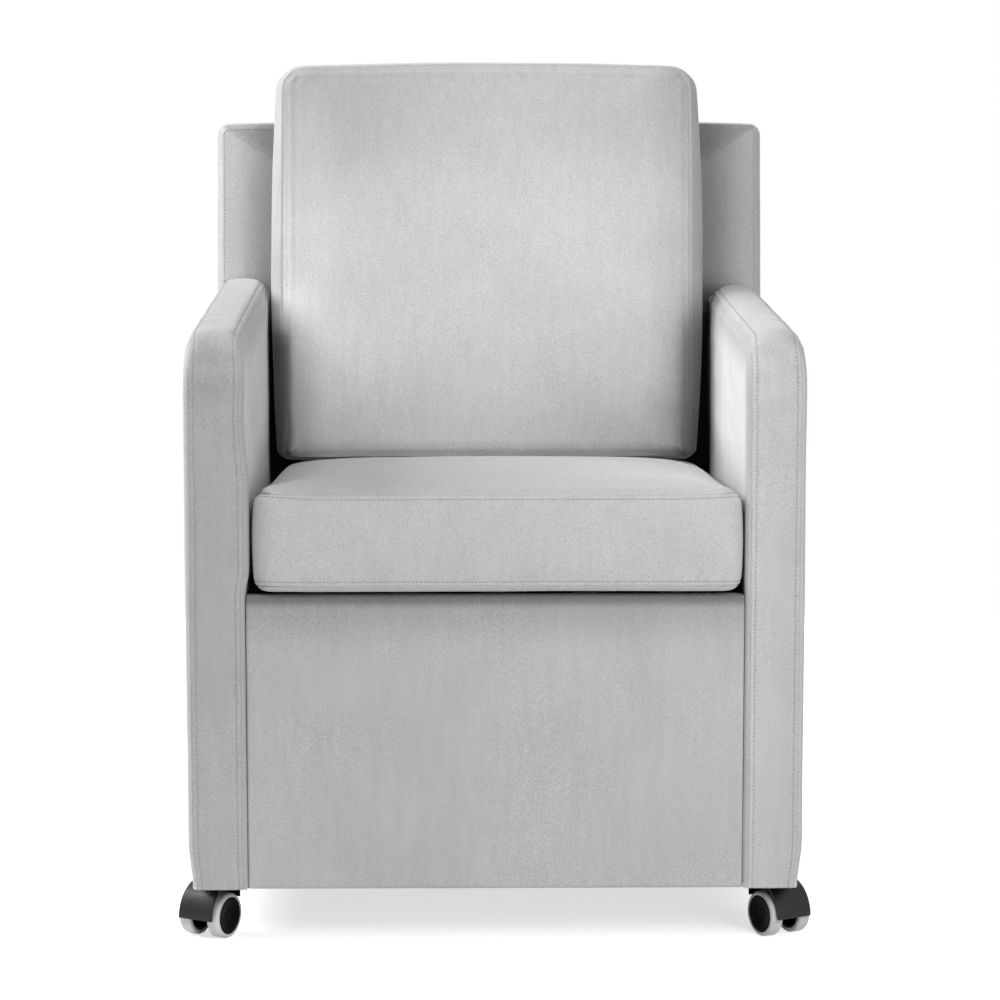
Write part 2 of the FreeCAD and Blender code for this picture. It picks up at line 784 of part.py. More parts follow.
def kingpin(x, y):
    """Steel kingpin whose thrust collar lies flat under the top plate."""
    foot, low, high, neck = kingpin_profile()
    pin = turned(
        [
            (0, foot),
            (KINGPIN_RADIUS, foot),
            (KINGPIN_RADIUS, low),
            (neck, low),
            (neck, high),
            (KINGPIN_RADIUS, high),
            (KINGPIN_RADIUS, PLATE_BOTTOM - COLLAR_HEIGHT),
            (COLLAR_RADIUS, PLATE_BOTTOM - COLLAR_HEIGHT),
            (COLLAR_RADIUS, PLATE_BOTTOM),
            (0, PLATE_BOTTOM),
        ]
    )
    pin.translate(Vector(x, y, 0))
    return pin


def hood_edges(inset):
    """Corners of the hood's curved roof, drawn in by an inset: lip, crest and tail."""
    front = CASTOR_TRAIL + HOOD_REACH - inset
    lip = WHEEL_RADIUS - HOOD_LIP_DROP
    top = HOUSING_TOP - inset
    radius = top - lip
    lip_point = Vector(front, 0, lip)
    bend_point = Vector(front - bite(radius), 0, top - bite(radius))
    crest_point = Vector(front - radius, 0, top)
    tail_top = Vector(-HOUSING_TAIL + inset, 0, top)
    tail_foot = Vector(-HOUSING_TAIL + inset, 0, HOUSING_TOP - HOUSING_TAIL_DROP)
    return lip_point, bend_point, crest_point, tail_top, tail_foot


def tail_corner(bounds):
    """Whether an edge is an upright outer corner of the housing's tail."""
    upright = bounds.XLength < TOUCH and bounds.YLength < TOUCH
    return upright and bounds.XMax < -HOUSING_TAIL + TOUCH


def castor_hood():
    """Curved roof of a castor housing, open at its sides where the wheels stand out."""
    lip, bend, crest, tail_top, tail_foot = hood_edges(0.0)
    lip_in, bend_in, crest_in, tail_top_in, tail_foot_in = hood_edges(HOOD_WALL)
    edges = [
        arc(lip, bend, crest),
        line(crest, tail_top),
        line(tail_top, tail_foot),
        line(tail_foot, tail_foot_in),
        line(tail_foot_in, tail_top_in),
        line(tail_top_in, crest_in),
        arc(crest_in, bend_in, lip_in),
        line(lip_in, lip),
    ]
    face = Part.Face(Part.Wire(edges))
    roof = face.extrude(Vector(0, HOOD_WIDTH, 0))
    roof.translate(Vector(0, -HOOD_WIDTH / 2, 0))
    half = HOOD_WIDTH / 2
    tail = [edge for edge in roof.Edges if tail_corner(edge.BoundBox)]
    roof = roof.makeFillet(HOUSING_TAIL_ROUND, tail)
    chosen = []
    for edge in roof.Edges:
        bounds = edge.BoundBox
        on_side = bounds.YLength < TOUCH and abs(abs(bounds.YMin) - half) < TOUCH
        outside = bounds.ZMax > HOUSING_TOP - TOUCH
        if on_side and outside and bounds.XLength > TOUCH:
            chosen.append(edge)
    return roof.makeFillet(HOOD_EDGE_RADIUS, chosen)


def castor_web():
    """Upright web between the wheels, from the hood down past the axle."""
    lip, bend, crest, tail_top, tail_foot = hood_edges(HOOD_WALL / 2)
    low = WHEEL_RADIUS - AXLE_BOSS_RADIUS / 2
    ahead = Vector(CASTOR_TRAIL + AXLE_BOSS_RADIUS, 0, low)
    behind = Vector(CASTOR_TRAIL - AXLE_BOSS_RADIUS, 0, low)
    edges = [
        arc(lip, bend, crest),
        line(crest, tail_top),
        line(tail_top, tail_foot),
        line(tail_foot, behind),
        line(behind, ahead),
        line(ahead, lip),
    ]
    web = Part.Face(Part.Wire(edges)).extrude(Vector(0, HOUSING_WEB, 0))
    web.translate(Vector(0, -HOUSING_WEB / 2, 0))
    return web


def castor_housing():
    """Moulded castor housing: hood, web, kingpin boss with its snap bead, and axle boss."""
    foot, low, high, neck = kingpin_profile()
    boss_foot = foot - RUNNING_FIT - KINGPIN_FLOOR
    boss = Part.makeCylinder(KINGPIN_BOSS_RADIUS, HOUSING_TOP - boss_foot, Vector(0, 0, boss_foot))
    axle_boss = Part.makeCylinder(
        AXLE_BOSS_RADIUS,
        2 * AXLE_BOSS_HALF,
        Vector(CASTOR_TRAIL, -AXLE_BOSS_HALF, WHEEL_RADIUS),
        Vector(0, 1, 0),
    )
    bore = KINGPIN_RADIUS + RUNNING_FIT
    bead = neck + RUNNING_FIT
    socket = turned(
        [
            (0, foot - RUNNING_FIT),
            (bore, foot - RUNNING_FIT),
            (bore, low + RUNNING_FIT),
            (bead, low + RUNNING_FIT),
            (bead, high - RUNNING_FIT),
            (bore, high - RUNNING_FIT),
            (bore, HOUSING_TOP + OVERSHOOT),
            (0, HOUSING_TOP + OVERSHOOT),
        ]
    )
    axle_hole = Part.makeCylinder(
        AXLE_RADIUS,
        2 * WHEEL_FAR,
        Vector(CASTOR_TRAIL, -WHEEL_FAR, WHEEL_RADIUS),
        Vector(0, 1, 0),
    )
    body = castor_hood().fuse([castor_web(), boss, axle_boss]).removeSplitter()
    return body.cut([socket, axle_hole])


def on_axle(shape, facing):
    """Wheel piece turned about Z with its inner face low, set on the axle to face one side."""
    placed = shape.copy()
    placed.rotate(Vector(0, 0, 0), Vector(1, 0, 0), -90 * facing)
    placed.translate(Vector(CASTOR_TRAIL, 0, WHEEL_RADIUS))
    return placed


def axle_snap():
    """Near and far end of the groove that holds a wheel on the axle."""
    far = AXLE_END - SNAP_SETBACK + SNAP_WIDTH
    return far - SNAP_WIDTH, far


def castor_axle():
    """Steel axle with a groove near each end."""
    near, far = axle_snap()
    neck = AXLE_RADIUS - SNAP_DEPTH
    half = turned(
        [
            (0, 0),
            (AXLE_RADIUS, 0),
            (AXLE_RADIUS, near),
            (neck, near),
            (neck, far),
            (AXLE_RADIUS, far),
            (AXLE_RADIUS, AXLE_END - SNAP_DEPTH),
            (AXLE_RADIUS - SNAP_DEPTH, AXLE_END),
            (0, AXLE_END),
        ]
    )
    return on_axle(half, 1).fuse(on_axle(half, -1)).removeSplitter()


def wheel_hub():
    """Moulded hub: dished closed face, rim under the tread and a boss that snaps on the axle."""
    near, far = axle_snap()
    bore = AXLE_RADIUS + RUNNING_FIT
    bead = AXLE_RADIUS - SNAP_DEPTH + RUNNING_FIT
    face = WHEEL_FAR - HUB_RIM_SET_IN
    dish = WHEEL_FAR - HUB_DISH
    rim_inner = HUB_RADIUS - HUB_RIM
    boss_start = AXLE_BOSS_HALF + SIDE_PLAY
    return turned(
        [
            (0, AXLE_END + SIDE_PLAY),
            (bore, AXLE_END + SIDE_PLAY),
            (bore, far - RUNNING_FIT),
            (bead, far - RUNNING_FIT),
            (bead, near + RUNNING_FIT),
            (bore, near + RUNNING_FIT),
            (bore, boss_start),
            (HUB_BOSS_RADIUS, boss_start),
            (HUB_BOSS_RADIUS, dish - HUB_WEB),
            (rim_inner, face - HUB_WEB),
            (rim_inner, WHEEL_NEAR + HUB_RIM_SET_IN),
            (HUB_RADIUS, WHEEL_NEAR + HUB_RIM_SET_IN),
            (HUB_RADIUS, face),
            (rim_inner, face),
            (HUB_BOSS_RADIUS, dish),
            (0, dish),
        ]
    )


def wheel_tread():
    """Soft tread ring with rounded shoulders."""
    outer_bite = bite(TREAD_OUTER_ROUND)
    inner_bite = bite(TREAD_INNER_ROUND)

    def at(radius, height):
        return Vector(radius, 0, height)

    inner_start = at(WHEEL_RADIUS - TREAD_INNER_ROUND, WHEEL_NEAR)
    inner_bend = at(WHEEL_RADIUS - inner_bite, WHEEL_NEAR + inner_bite)
    inner_end = at(WHEEL_RADIUS, WHEEL_NEAR + TREAD_INNER_ROUND)
    outer_start = at(WHEEL_RADIUS, WHEEL_FAR - TREAD_OUTER_ROUND)
    outer_bend = at(WHEEL_RADIUS - outer_bite, WHEEL_FAR - outer_bite)
    outer_end = at(WHEEL_RADIUS - TREAD_OUTER_ROUND, WHEEL_FAR)
    edges = [
        line(at(HUB_RADIUS, WHEEL_NEAR), inner_start),
        arc(inner_start, inner_bend, inner_end),
        line(inner_end, outer_start),
        arc(outer_start, outer_bend, outer_end),
        line(outer_end, at(HUB_RADIUS, WHEEL_FAR)),
        line(at(HUB_RADIUS, WHEEL_FAR), at(HUB_RADIUS, WHEEL_NEAR)),
    ]
    return Part.Face(Part.Wire(edges)).revolve(Vector(0, 0, 0), Vector(0, 0, 1), 360)


def castors():
    """All castor pieces by node name; each wheel turns on its own."""
    nodes = {"castor_plates": [], "castor_screws": []}
    for name, x, y, turn, side in castor_places():
        nodes["castor_plates"] += [castor_plate(x, y), kingpin(x, y)]
        for i, j in screw_places(x, y):
            nodes["castor_screws"].append(screw(i, j).cut(screw_recess(i, j)))
        pieces = {"housing": castor_housing(), "axle": castor_axle()}
        for wheel, facing in (("inner", -side), ("outer", side)):
            pieces[f"{wheel}_hub"] = on_axle(wheel_hub(), facing)
            pieces[f"{wheel}_tread"] = on_axle(wheel_tread(), facing)
        for piece, shape in pieces.items():
            nodes[f"castor_{name}_{piece}"] = [castor_placed(shape, x, y, turn)]
    return nodes


def bolt(start, direction, length):
    """Round-headed frame bolt with its head's underside at start."""
    head = Part.makeCylinder(BOLT_HEAD_RADIUS, BOLT_HEAD_HEIGHT, start, direction * -1)
    shank = Part.makeCylinder(BOLT_RADIUS, length, start, direction)
    return head.fuse(shank).removeSplitter()


def bolt_hole(start, direction, length):
    """Clearance for a bolt: round its shank, and a counterbore for its head."""
    shank = Part.makeCylinder(BOLT_RADIUS + BOLT_HOLE_GAP, length, start, direction)
    head_room = Part.makeCylinder(
        BOLT_HEAD_RADIUS + BOLT_HOLE_GAP, BOLT_HEAD_HEIGHT + EASE, start, direction * -1
    )
    return shank.fuse(head_room)


def seat_bolts():
    """Start, direction and length of the bolts from the seat frame into the arm posts."""
    length = ARM_INNER + ARM_CORE_INSET + SIDE_BOARD + BOLT_GRIP - SEAT_FRAME_INNER
    past_rail = SEAT_RAIL_THICKNESS + BOLT_RAIL_GAP + BOLT_HEAD_RADIUS
    bolts = []
    for side in (-1, 1):
        for y in (SEAT_FRAME_FRONT + past_rail, seat_frame_rear() - past_rail):
            z = rail_top(y) - SEAT_RAIL_HEIGHT / 2
            bolts.append((Vector(side * SEAT_FRAME_INNER, y, z), Vector(side, 0, 0), length))
    return bolts


def back_bolts():
    """Start, direction and length of the bolts from the back uprights into the arm posts."""
    head_seat = BACK_WOOD_REAR - BOLT_HEAD_HEIGHT - EASE
    lower = BASE_HEIGHT + BASE_RAIL_HEIGHT + BACK_BOLT_ABOVE_BASE_RAIL
    upper = ARM_HEIGHT - ARM_CORE_INSET - ARM_RAIL_HEIGHT - BACK_BOLT_BELOW_ARM_RAIL
    bolts = []
    for side in (-1, 1):
        for height in (lower, upper):
            rise = (height - ARM_HEIGHT) / LEAN_COSINE
            start = lean_point(side * CASTOR_SIDE, head_seat, rise)
            direction = Vector(0, -LEAN_COSINE, LEAN_SINE)
            bolts.append((start, direction, head_seat + BOLT_GRIP))
    return bolts


def dust_cover():
    """Thin cloth under the chair, cut out round the castor plates."""
    half = HALF_WIDTH - DUST_COVER_MARGIN
    rear = back_face(BASE_HEIGHT) + BACK_THICKNESS / LEAN_COSINE - DUST_COVER_MARGIN
    sheet = box(-half, half, DUST_COVER_MARGIN, rear, BASE_HEIGHT - DUST_COVER, BASE_HEIGHT)
    reach = PLATE_SIZE / 2 + DUST_COVER_CUTOUT_GAP
    cutouts = []
    for name, x, y, turn, side in castor_places():
        outer = x + side * OVERSHOOT
        x0 = min(x - side * reach, outer)
        x1 = max(x - side * reach, outer)
        cutouts.append(box(x0, x1, y - reach, y + reach, 0, BASE_HEIGHT))
    return sheet.cut(cutouts)


def all_pieces():
    """Every node of the chair with its list of solids."""
    nodes = {}
    for name, side in (("left", -1), ("right", 1)):
        for member, shape in arm_frame(side).items():
            nodes[f"{name}_{member}"] = [shape]
        nodes[f"{name}_side_boards"] = arm_boards(side)
        nodes[f"{name}_arm_foam"] = [arm_foam(side)]
        nodes[f"{name}_arm_cover"] = [arm_cover(side)]
    nodes.update(back_frame())
    nodes["back_webbing"] = back_webbing()
    nodes["back_foam"] = [back_foam()]
    nodes["back_cover"] = [back_cover()]
    nodes["back_cushion_core"] = [back_cushion(SKIN)]
    nodes["back_cushion_cover"] = [sewn_cover(back_cushion)]
    nodes.update(seat_rails())
    first, last, bends = spring_run()
    nodes["seat_springs"] = [seat_spring(x) for x in spring_places()]
    nodes["spring_clips"] = [spring_clip(x, along) for x in spring_places() for along in (first, last)]
    nodes["seat_cushion_core"] = [seat_cushion(SKIN)]
    nodes["seat_cushion_cover"] = [sewn_cover(seat_cushion)]
    nodes["front_panel_board"] = [front_panel_board()]
    nodes["front_panel_cover"] = [front_panel_cover()]
    nodes["dust_cover"] = [dust_cover()]
    return nodes


def drill(nodes):
    """Cuts the screw and bolt holes into the pieces that they pass through, and adds the bolts."""
    screws = []
    for name, x, y, turn, side in castor_places():
        screws += [screw(i, j) for i, j in screw_places(x, y)]
    bolts = seat_bolts() + back_bolts()
    shapes = [bolt(*place) for place in bolts]
    holes = [bolt_hole(*place) for place in bolts]
    gripped = ["left_front_post", "right_front_post", "left_rear_post", "right_rear_post"]
    passed = ["seat_side_rails", "back_uprights", "back_foam", "back_cover"]
    for name in ("left", "right"):
        passed += [f"{name}_side_boards", f"{name}_arm_foam", f"{name}_arm_cover"]
        gripped.append(f"{name}_base_rail")
    for node in gripped:
        nodes[node] = [solid.cut(shapes + screws) for solid in nodes[node]]
    for node in passed:
        nodes[node] = [solid.cut(holes + screws) for solid in nodes[node]]
    nodes["frame_bolts"] = shapes
    return nodes


def footprint_middle(nodes):
    """Y halfway between the seat cushion's nose and the rear of the back panel."""
    front = nodes["seat_cushion_cover"][0].optimalBoundingBox().YMin
    rear = nodes["back_cover"][0].optimalBoundingBox().YMax
    return (front + rear) / 2


NODES = drill(all_pieces())
NODES.update(castors())
MIDDLE = footprint_middle(NODES)
os.makedirs("parts", exist_ok=True)
for node, solids in NODES.items():
    for solid in solids:
        solid.translate(Vector(0, -MIDDLE, 0))
    shape = solids[0] if len(solids) == 1 else Part.makeCompound(solids)
    shape.exportStep(f"parts/{node}.step")
    valid = all(solid.isValid() for solid in solids)
    volume = sum(solid.Volume for solid in solids) / 1000
    count = sum(len(solid.Solids) for solid in solids)
    print(f"{node}: {count} solids, {volume:.1f} cm3, valid {valid}")
print(f"{len(NODES)} nodes, arm fronts at Y {-MIDDLE:.3f}")
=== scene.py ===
import math

import bpy
import numpy as np
from bpy.props import FloatProperty, FloatVectorProperty, PointerProperty
from mathutils import Euler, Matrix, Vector, noise
from mathutils.bvhtree import BVHTree


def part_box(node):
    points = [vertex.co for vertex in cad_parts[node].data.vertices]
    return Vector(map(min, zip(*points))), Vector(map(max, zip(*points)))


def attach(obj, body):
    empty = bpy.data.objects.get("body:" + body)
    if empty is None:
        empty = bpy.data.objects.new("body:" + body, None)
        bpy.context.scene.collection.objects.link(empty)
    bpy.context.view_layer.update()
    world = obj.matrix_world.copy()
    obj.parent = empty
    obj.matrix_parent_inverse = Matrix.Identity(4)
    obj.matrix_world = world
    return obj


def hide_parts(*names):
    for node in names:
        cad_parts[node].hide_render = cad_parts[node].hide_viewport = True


bl_info = {
    "name": "Velour armchair on castors",
    "version": (1, 0, 0),
    "blender": (4, 5, 0),
    "location": "View3D > Sidebar > Armchair",
    "description": "Dresses the armchair's frame in padded velour and finishes its castors",
    "category": "Object",
}

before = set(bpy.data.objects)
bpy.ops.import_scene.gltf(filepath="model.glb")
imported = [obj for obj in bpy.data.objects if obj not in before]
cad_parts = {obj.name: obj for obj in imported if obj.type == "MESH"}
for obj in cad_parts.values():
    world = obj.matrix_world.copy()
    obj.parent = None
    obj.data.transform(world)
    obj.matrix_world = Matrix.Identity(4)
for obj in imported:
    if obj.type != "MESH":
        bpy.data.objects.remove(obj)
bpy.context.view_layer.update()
MM = 0.001

# Directions of the chair: the back leans 8 degrees, the seat falls 4 degrees to the rear.
LEAN = math.radians(8.0)
TILT = math.radians(4.0)
RISE = np.array([0.0, math.sin(LEAN), math.cos(LEAN)])
BEHIND = np.array([0.0, math.cos(LEAN), -math.sin(LEAN)])
ALONG = np.array([0.0, math.cos(TILT), -math.sin(TILT)])
ABOVE = np.array([0.0, math.sin(TILT), math.cos(TILT)])
SIDEWAYS = np.array([1.0, 0.0, 0.0])

# Places that the solids' boxes don't give: the seat cushion's lower front edge, and the back
# cushion's foot and head along the lean, from the level of the arm tops.
SEAT_NOSE = np.array([0.0, -331.033, 366.0]) * MM
CUSHION_FOOT = -196.55 * MM
CUSHION_HEAD = 246.0 * MM

# Gap between the back panel, the arms before it and the cushion on it.
BACK_GAP = 0.3 * MM

# Ends of the back's mitre seams: in from its side, and down from its head.
MITRE_OUTER = (22 * MM, 14 * MM)
MITRE_INNER = (100 * MM, 62 * MM)

# How a mitre seam is laid on the cloth: at so many points, from so far in front.
MITRE_POINTS = 13
MITRE_RUN_UP = 200 * MM

# Notch in the dust cover at each castor plate: how far it reaches in from the plate's outer edges,
# and the gap that it leaves before or behind the plate.
NOTCH = 39 * MM
NOTCH_GAP = 1 * MM

# Stops of the dust cover's grid, each way.
DUST_COVER_STOPS = 61

# Distances in from a sewn edge, in mm: close together where the cloth turns and is stitched.
EDGE_STEPS = (0.0, 1.5, 3.0, 3.6, 4.0, 4.4, 5.0, 6.5, 8.0, 9.2, 10.0, 10.8, 12.5, 15.0, 19.0, 25.0)
STITCH_STEP = EDGE_STEPS.index(10.0)
BORDER_STEP = EDGE_STEPS.index(8.0)
SEAM = 4.0 * MM
STITCH = EDGE_STEPS[STITCH_STEP] * MM

# The same for a cover in simulation, which needs its seam and an even grid.
COVER_STEPS = (0.0, 4.0, 12.5, 25.0)

# Simulated swelling: pressure of the filling, and the frames that it gets.
PRESSURE = 4.0
FRAMES = 20

# Soft lumps of the padding under each cover: height and spacing in mm, and the noise's seed.
LUMPS = {
    "arm": (0.5, 90, 3),
    "back": (0.6, 120, 9),
    "seat": (0.7, 100, 17),
    "cushion": (0.7, 100, 23),
    "panel": (0.6, 100, 31),
}

# How pale each panel is drawn: partly the pile lying one way or the other as the cloth was cut, partly
# painted light and shade.
NAP_AND_PAINTED_LIGHT = {
    "left_front": 0.79,
    "left_top": 0.89,
    "left_inner": 1.26,
    "right_front": 0.96,
    "right_top": 1.04,
    "right_inner": 1.55,
    "arm_outer": 1.0,
    "back_left_edge": 1.08,
    "back_left_middle": 0.74,
    "back_right_edge": 0.88,
    "back_right_middle": 0.52,
    "back_rear": 1.15,
    "cushion": 1.34,
    "cushion_strip": 1.02,
    "seat_top": 0.92,
    "seat_strip_left": 0.94,
    "seat_strip_right": 1.02,
    "panel_left": 0.84,
    "panel_right": 0.92,
}

# Share by which part of a panel is drawn darker, or paler where it is rubbed or lit: random strokes and
# rubbed pile, and painted light and shade.
SHADE = {
    "arm_painted_shade_below_seat": 0.35,
    "arm_strokes": 0.07,
    "arm_rubbed_pile_and_painted_light": 0.16,
    "arm_lit_edge": 0.08,
    "arm_lit_front": 0.07,
    "back_mitre": 0.25,
    "back_painted_shade": 0.8,
    "cushion_strip": 0.65,
    "cushion_strip_side": 0.15,
    "cushion_head": 0.22,
    "cushion_upper_left": 0.15,
    "cushion_lower_left": 0.14,
    "cushion_margin": 0.12,
    "cushion_low_margin": 0.18,
    "cushion_painted_light": 0.2,
    "cushion_seam": 0.85,
    "cushion_foot": 0.3,
    "panel_head": 0.2,
    "panel_edge": 0.5,
}

# Spans in mm over which a form or a tone changes.
SPANS = {
    # Up from the foot of an arm or of the back.
    "arm_foot": (0, 50),
    # Down from an arm's top.
    "shoulder_drop": (0, 45),
    "crease_drop": (50, 110),
    # In from an arm's front, and from the front or top of its inner panel.
    "shoulder_reach": (20, 70),
    "crease_reach": (180, 300),
    "snug_reach": (120, 400),
    "inner_margin": (0, 40),
    # Up from the floor.
    "seat_foot": (362, 385),
    "seat_head": (470, 530),
    "below_seat": (440, 500),
    "lit_front": (380, 550),
    # Out from the back's middle, down from its mitre seam, and up its lean from the arm tops.
    "back_middle": (240, 295),
    "mitre": (-3, 3),
    "lining_and_painted_shade": (-26, 16),
    # In from the sides of the back cushion's front, and up from its foot.
    "cushion_painted_light": (5, 60),
    "cushion_left_seam": (0, 14),
    "cushion_right_seam": (0, 20),
    "cushion_foot": (3, 16),
    # Down from the front panel's head.
    "panel_head": (10, 60),
    "panel_edge": (3, 14),
}


def linear(hex_colour):
    """Linear red, green and blue of an sRGB hex colour."""
    channels = [int(hex_colour[i : i + 2], 16) / 255 for i in (1, 3, 5)]
    return tuple(c / 12.92 if c <= 0.04045 else ((c + 0.055) / 1.055) ** 2.4 for c in channels)


def millimetres(name, description, size):
    """Property for a size, given in mm."""
    return FloatProperty(
        name=name, description=description, default=size * MM, min=0.0, unit="LENGTH", precision=4
    )


def tint(name, description, hex_colour):
    """Property for a colour, given as sRGB hex."""
    return FloatVectorProperty(
        name=name, description=description, default=linear(hex_colour), subtype="COLOR", min=0.0, max=1.0
    )


class ArmchairSizes(bpy.types.PropertyGroup):
    """Sizes of the padding and of its sewing."""

    grid: millimetres("Grid", "Spacing of the grid over a cushion or panel", 12)
    arm_grid: millimetres("Arm grid", "Spacing of the grid over an arm, fine enough for creases", 10)
    arm_corner: millimetres("Arm corner", "Radius of an arm's upper front corner", 38)
    arm_edge: millimetres("Arm edge", "Rounding of an arm's long edges", 9)
    arm_dome: millimetres("Arm dome", "Rise of an arm's top between its two seams", 14)
    left_arm_rise: millimetres("Left arm rise", "How much fuller the left arm is at its rear", 7)
    left_arm_snug: millimetres("Left arm snug", "Swell of the left arm towards the seat", 4)
    arm_foot_edge: millimetres("Arm foot edge", "Rounding of an arm's outer edge at its foot", 3)
    arm_tuck: millimetres("Arm tuck", "How far an arm's outer face turns in at its foot", 4.5)
    arm_shoulder: millimetres("Arm shoulder", "How far an arm turns in at its upper front corner", 1.6)
    arm_crease: millimetres("Arm crease", "Height of the creases at an arm's front corner", 2)
    arm_waver: millimetres("Arm waver", "How far an arm's inner seam strays from straight", 1.4)
    hidden_edge: millimetres("Hidden edge", "Rounding where a cover meets the floor side or the back", 2)
    back_loft: millimetres("Back loft", "Thickness of the back panel", 66)
    back_corner: millimetres("Back corner", "Radius of the back's upper corners", 13)
    back_edge: millimetres("Back edge", "Rounding of the back's edges", 11)
    back_bow: millimetres("Back bow", "Rise of the back's head at its middle", 3)
    seat_loft: millimetres("Seat loft", "Height of the seat cushion at its edges", 104)
    seat_length: millimetres("Seat length", "Length of the seat cushion, front to rear", 528.8)
    seat_corner: millimetres("Seat corner", "Radius of the seat cushion's upright corners", 20)
    seat_top_edge: millimetres("Seat top edge", "Rounding of the seat cushion's upper edge", 20)
    seat_low_edge: millimetres("Seat low edge", "Rounding of the seat cushion's lower edge", 12)
    seat_crown: millimetres("Seat crown", "Rise of the seat cushion's top at its middle", 10)
    seat_bulge: millimetres("Seat bulge", "Swell of the seat cushion's strip between its seams", 3)
    seat_drop: millimetres("Seat drop", "Fall of the seat cushion's sides towards its rear", 13)
    seat_shoulder: millimetres("Seat shoulder", "Width of the round at the seat's sides", 65)
    seat_ear: millimetres("Seat ear", "How far the seat's front upper corners stand up", 4)
    seat_fold: millimetres("Seat fold", "Depth of the fold at its upper left front corner", 3)
    fold_width: millimetres("Fold width", "Width of that fold", 4)
    seat_swell: millimetres("Seat swell", "Furthest that the filling pushes the seat's cover", 4)
    cushion_loft: millimetres("Cushion loft", "Thickness of the back cushion at its edges", 88)
    cushion_corner: millimetres("Cushion corner", "Radius of the back cushion's upper corners", 22)
    cushion_low_corner: millimetres("Cushion low corner", "Radius of its lower corners", 9)
    cushion_edge: millimetres("Cushion edge", "Rounding of the back cushion's sewn edges", 9)
    cushion_roll: millimetres("Cushion roll", "Rounding of its lower front edge", 20)
    cushion_crown: millimetres("Cushion crown", "Swell of the back cushion's front", 12)
    cushion_margin: millimetres("Cushion margin", "Width of the round at its front's sides", 45)
    cushion_fall: millimetres("Cushion fall", "Depth of that round at its lower corners", 13)
    cushion_tuck: millimetres("Cushion tuck", "How far its front turns in towards its foot", 10)
    tuck_height: millimetres("Tuck height", "Height over which it does so", 100)
    cushion_inset: millimetres("Cushion inset", "How far its side seams lie inside its solid", 11)
    cushion_bulge: millimetres("Cushion bulge", "Swell of its sides past its seams", 15.5)
    right_bulge: millimetres("Right bulge", "How much more its right side swells", 3)
    cushion_top_bulge: millimetres("Cushion top bulge", "Swell of its top past its seams", 6)
    cushion_bow: millimetres("Cushion bow", "Fall of its head towards its upper corners", 4)
    cushion_settle: millimetres("Cushion settle", "How far its front sinks on to the seat", 5)
    cushion_ruffle: millimetres("Cushion ruffle", "Unevenness of its lower front edge", 1.4)
    cushion_swell: millimetres("Cushion swell", "Furthest that its filling pushes its cover", 6)
    panel_edge: millimetres("Panel edge", "Rounding of the front panel's edges", 3)
    panel_corner: millimetres("Panel corner", "Radius of its corners and of its rear edges", 1)
    seam_depth: millimetres("Seam depth", "How far a seam is drawn in", 1.5)
    seam_width: millimetres("Seam width", "Width of the dent at a seam", 0.55)
    stitch_depth: millimetres("Stitch depth", "How far a topstitch is drawn in", 0.8)
    stitch_width: millimetres("Stitch width", "Width of the dent at a topstitch", 1)
    stitch_pitch: millimetres("Stitch pitch", "Distance from one stitch to the next", 4.2)
    stitch_length: millimetres("Stitch length", "Length of one stitch", 3)
    thread: millimetres("Thread", "Thickness of the sewing thread", 0.9)
    thread_lift: millimetres("Thread lift", "How far the thread lies proud of the cloth", 0.25)
    mitre_lift: millimetres("Mitre lift", "The same at the back's mitre seams", 0.15)
    dust_cloth: millimetres("Dust cloth", "Thickness of the dust cover", 0.5)
    dust_sag: millimetres("Dust sag", "How far the dust cover hangs", 1)


class ArmchairColours(bpy.types.PropertyGroup):
    """Colours of the chair's finishes."""

    velour: tint("Velour", "Pile of the cover", "#bababb")
    thread: tint("Thread", "Sewing thread", "#98989b")
    castor: tint("Castor", "Moulded castor hood", "#151516")
    hub: tint("Hub", "Moulded wheel hub", "#0a0a0b")
    tread: tint("Tread", "Soft tread of the wheels", "#cbcbcb")
    dust_cloth: tint("Dust cloth", "Cloth under the chair", "#202021")
    pine: tint("Pine", "Sawn frame timber", "#cfae7d")
    # Painted shade: the timber that shows in the gaps is drawn near black.
    painted_shade_pine: tint("Pine drawn dark as gap shade", "Frame timber stained dark where gaps show it", "#1d1a18")
    hardboard: tint("Hardboard", "Pressed fibre board", "#7a5536")
    webbing: tint("Webbing", "Woven elastic webbing", "#2a2a2c")
    zinc: tint("Zinc", "Zinc-plated steel", "#c3c5c8")
    spring: tint("Spring", "Oil-tempered spring steel", "#5b5a58")
    floor: tint("Floor", "Studio floor", "#f2f2f2")


def add(tree, kind, inputs=None, **settings):
    """Adds a node with its settings; each input is given a value or linked to a socket."""
    node = tree.nodes.new(kind)
    for key, value in settings.items():
        setattr(node, key, value)
    for key, value in (inputs or {}).items():
        if isinstance(value, bpy.types.NodeSocket):
            tree.links.new(value, node.inputs[key])
        else:
            node.inputs[key].default_value = value
    return node


def new_material(name):
    """Empty node material, and the tree to build in."""
    material = bpy.data.materials.new(name)
    material.use_nodes = True
    material.node_tree.nodes.clear()
    return material, material.node_tree


def finish_material(tree, inputs):
    """Adds the surface with its inputs, and links it to the material's output."""
    shader = add(tree, "ShaderNodeBsdfPrincipled", inputs)
    add(tree, "ShaderNodeOutputMaterial", {"Surface": shader.outputs[0]})


def on_piece(tree, stretch=None):
    """Coordinates that stay with the piece, stretched along an axis where its scale is small."""
    place = add(tree, "ShaderNodeTexCoord").outputs["Object"]
    if stretch:
        place = add(tree, "ShaderNodeMapping", {"Vector": place, "Scale": stretch}).outputs[0]
    return place


def clouds(tree, place, size, detail, distortion=0.0):
    """Noise whose forms are about that size."""
    inputs = {"Vector": place, "Scale": 1 / size, "Detail": detail, "Distortion": distortion}
    return add(tree, "ShaderNodeTexNoise", inputs).outputs[0]


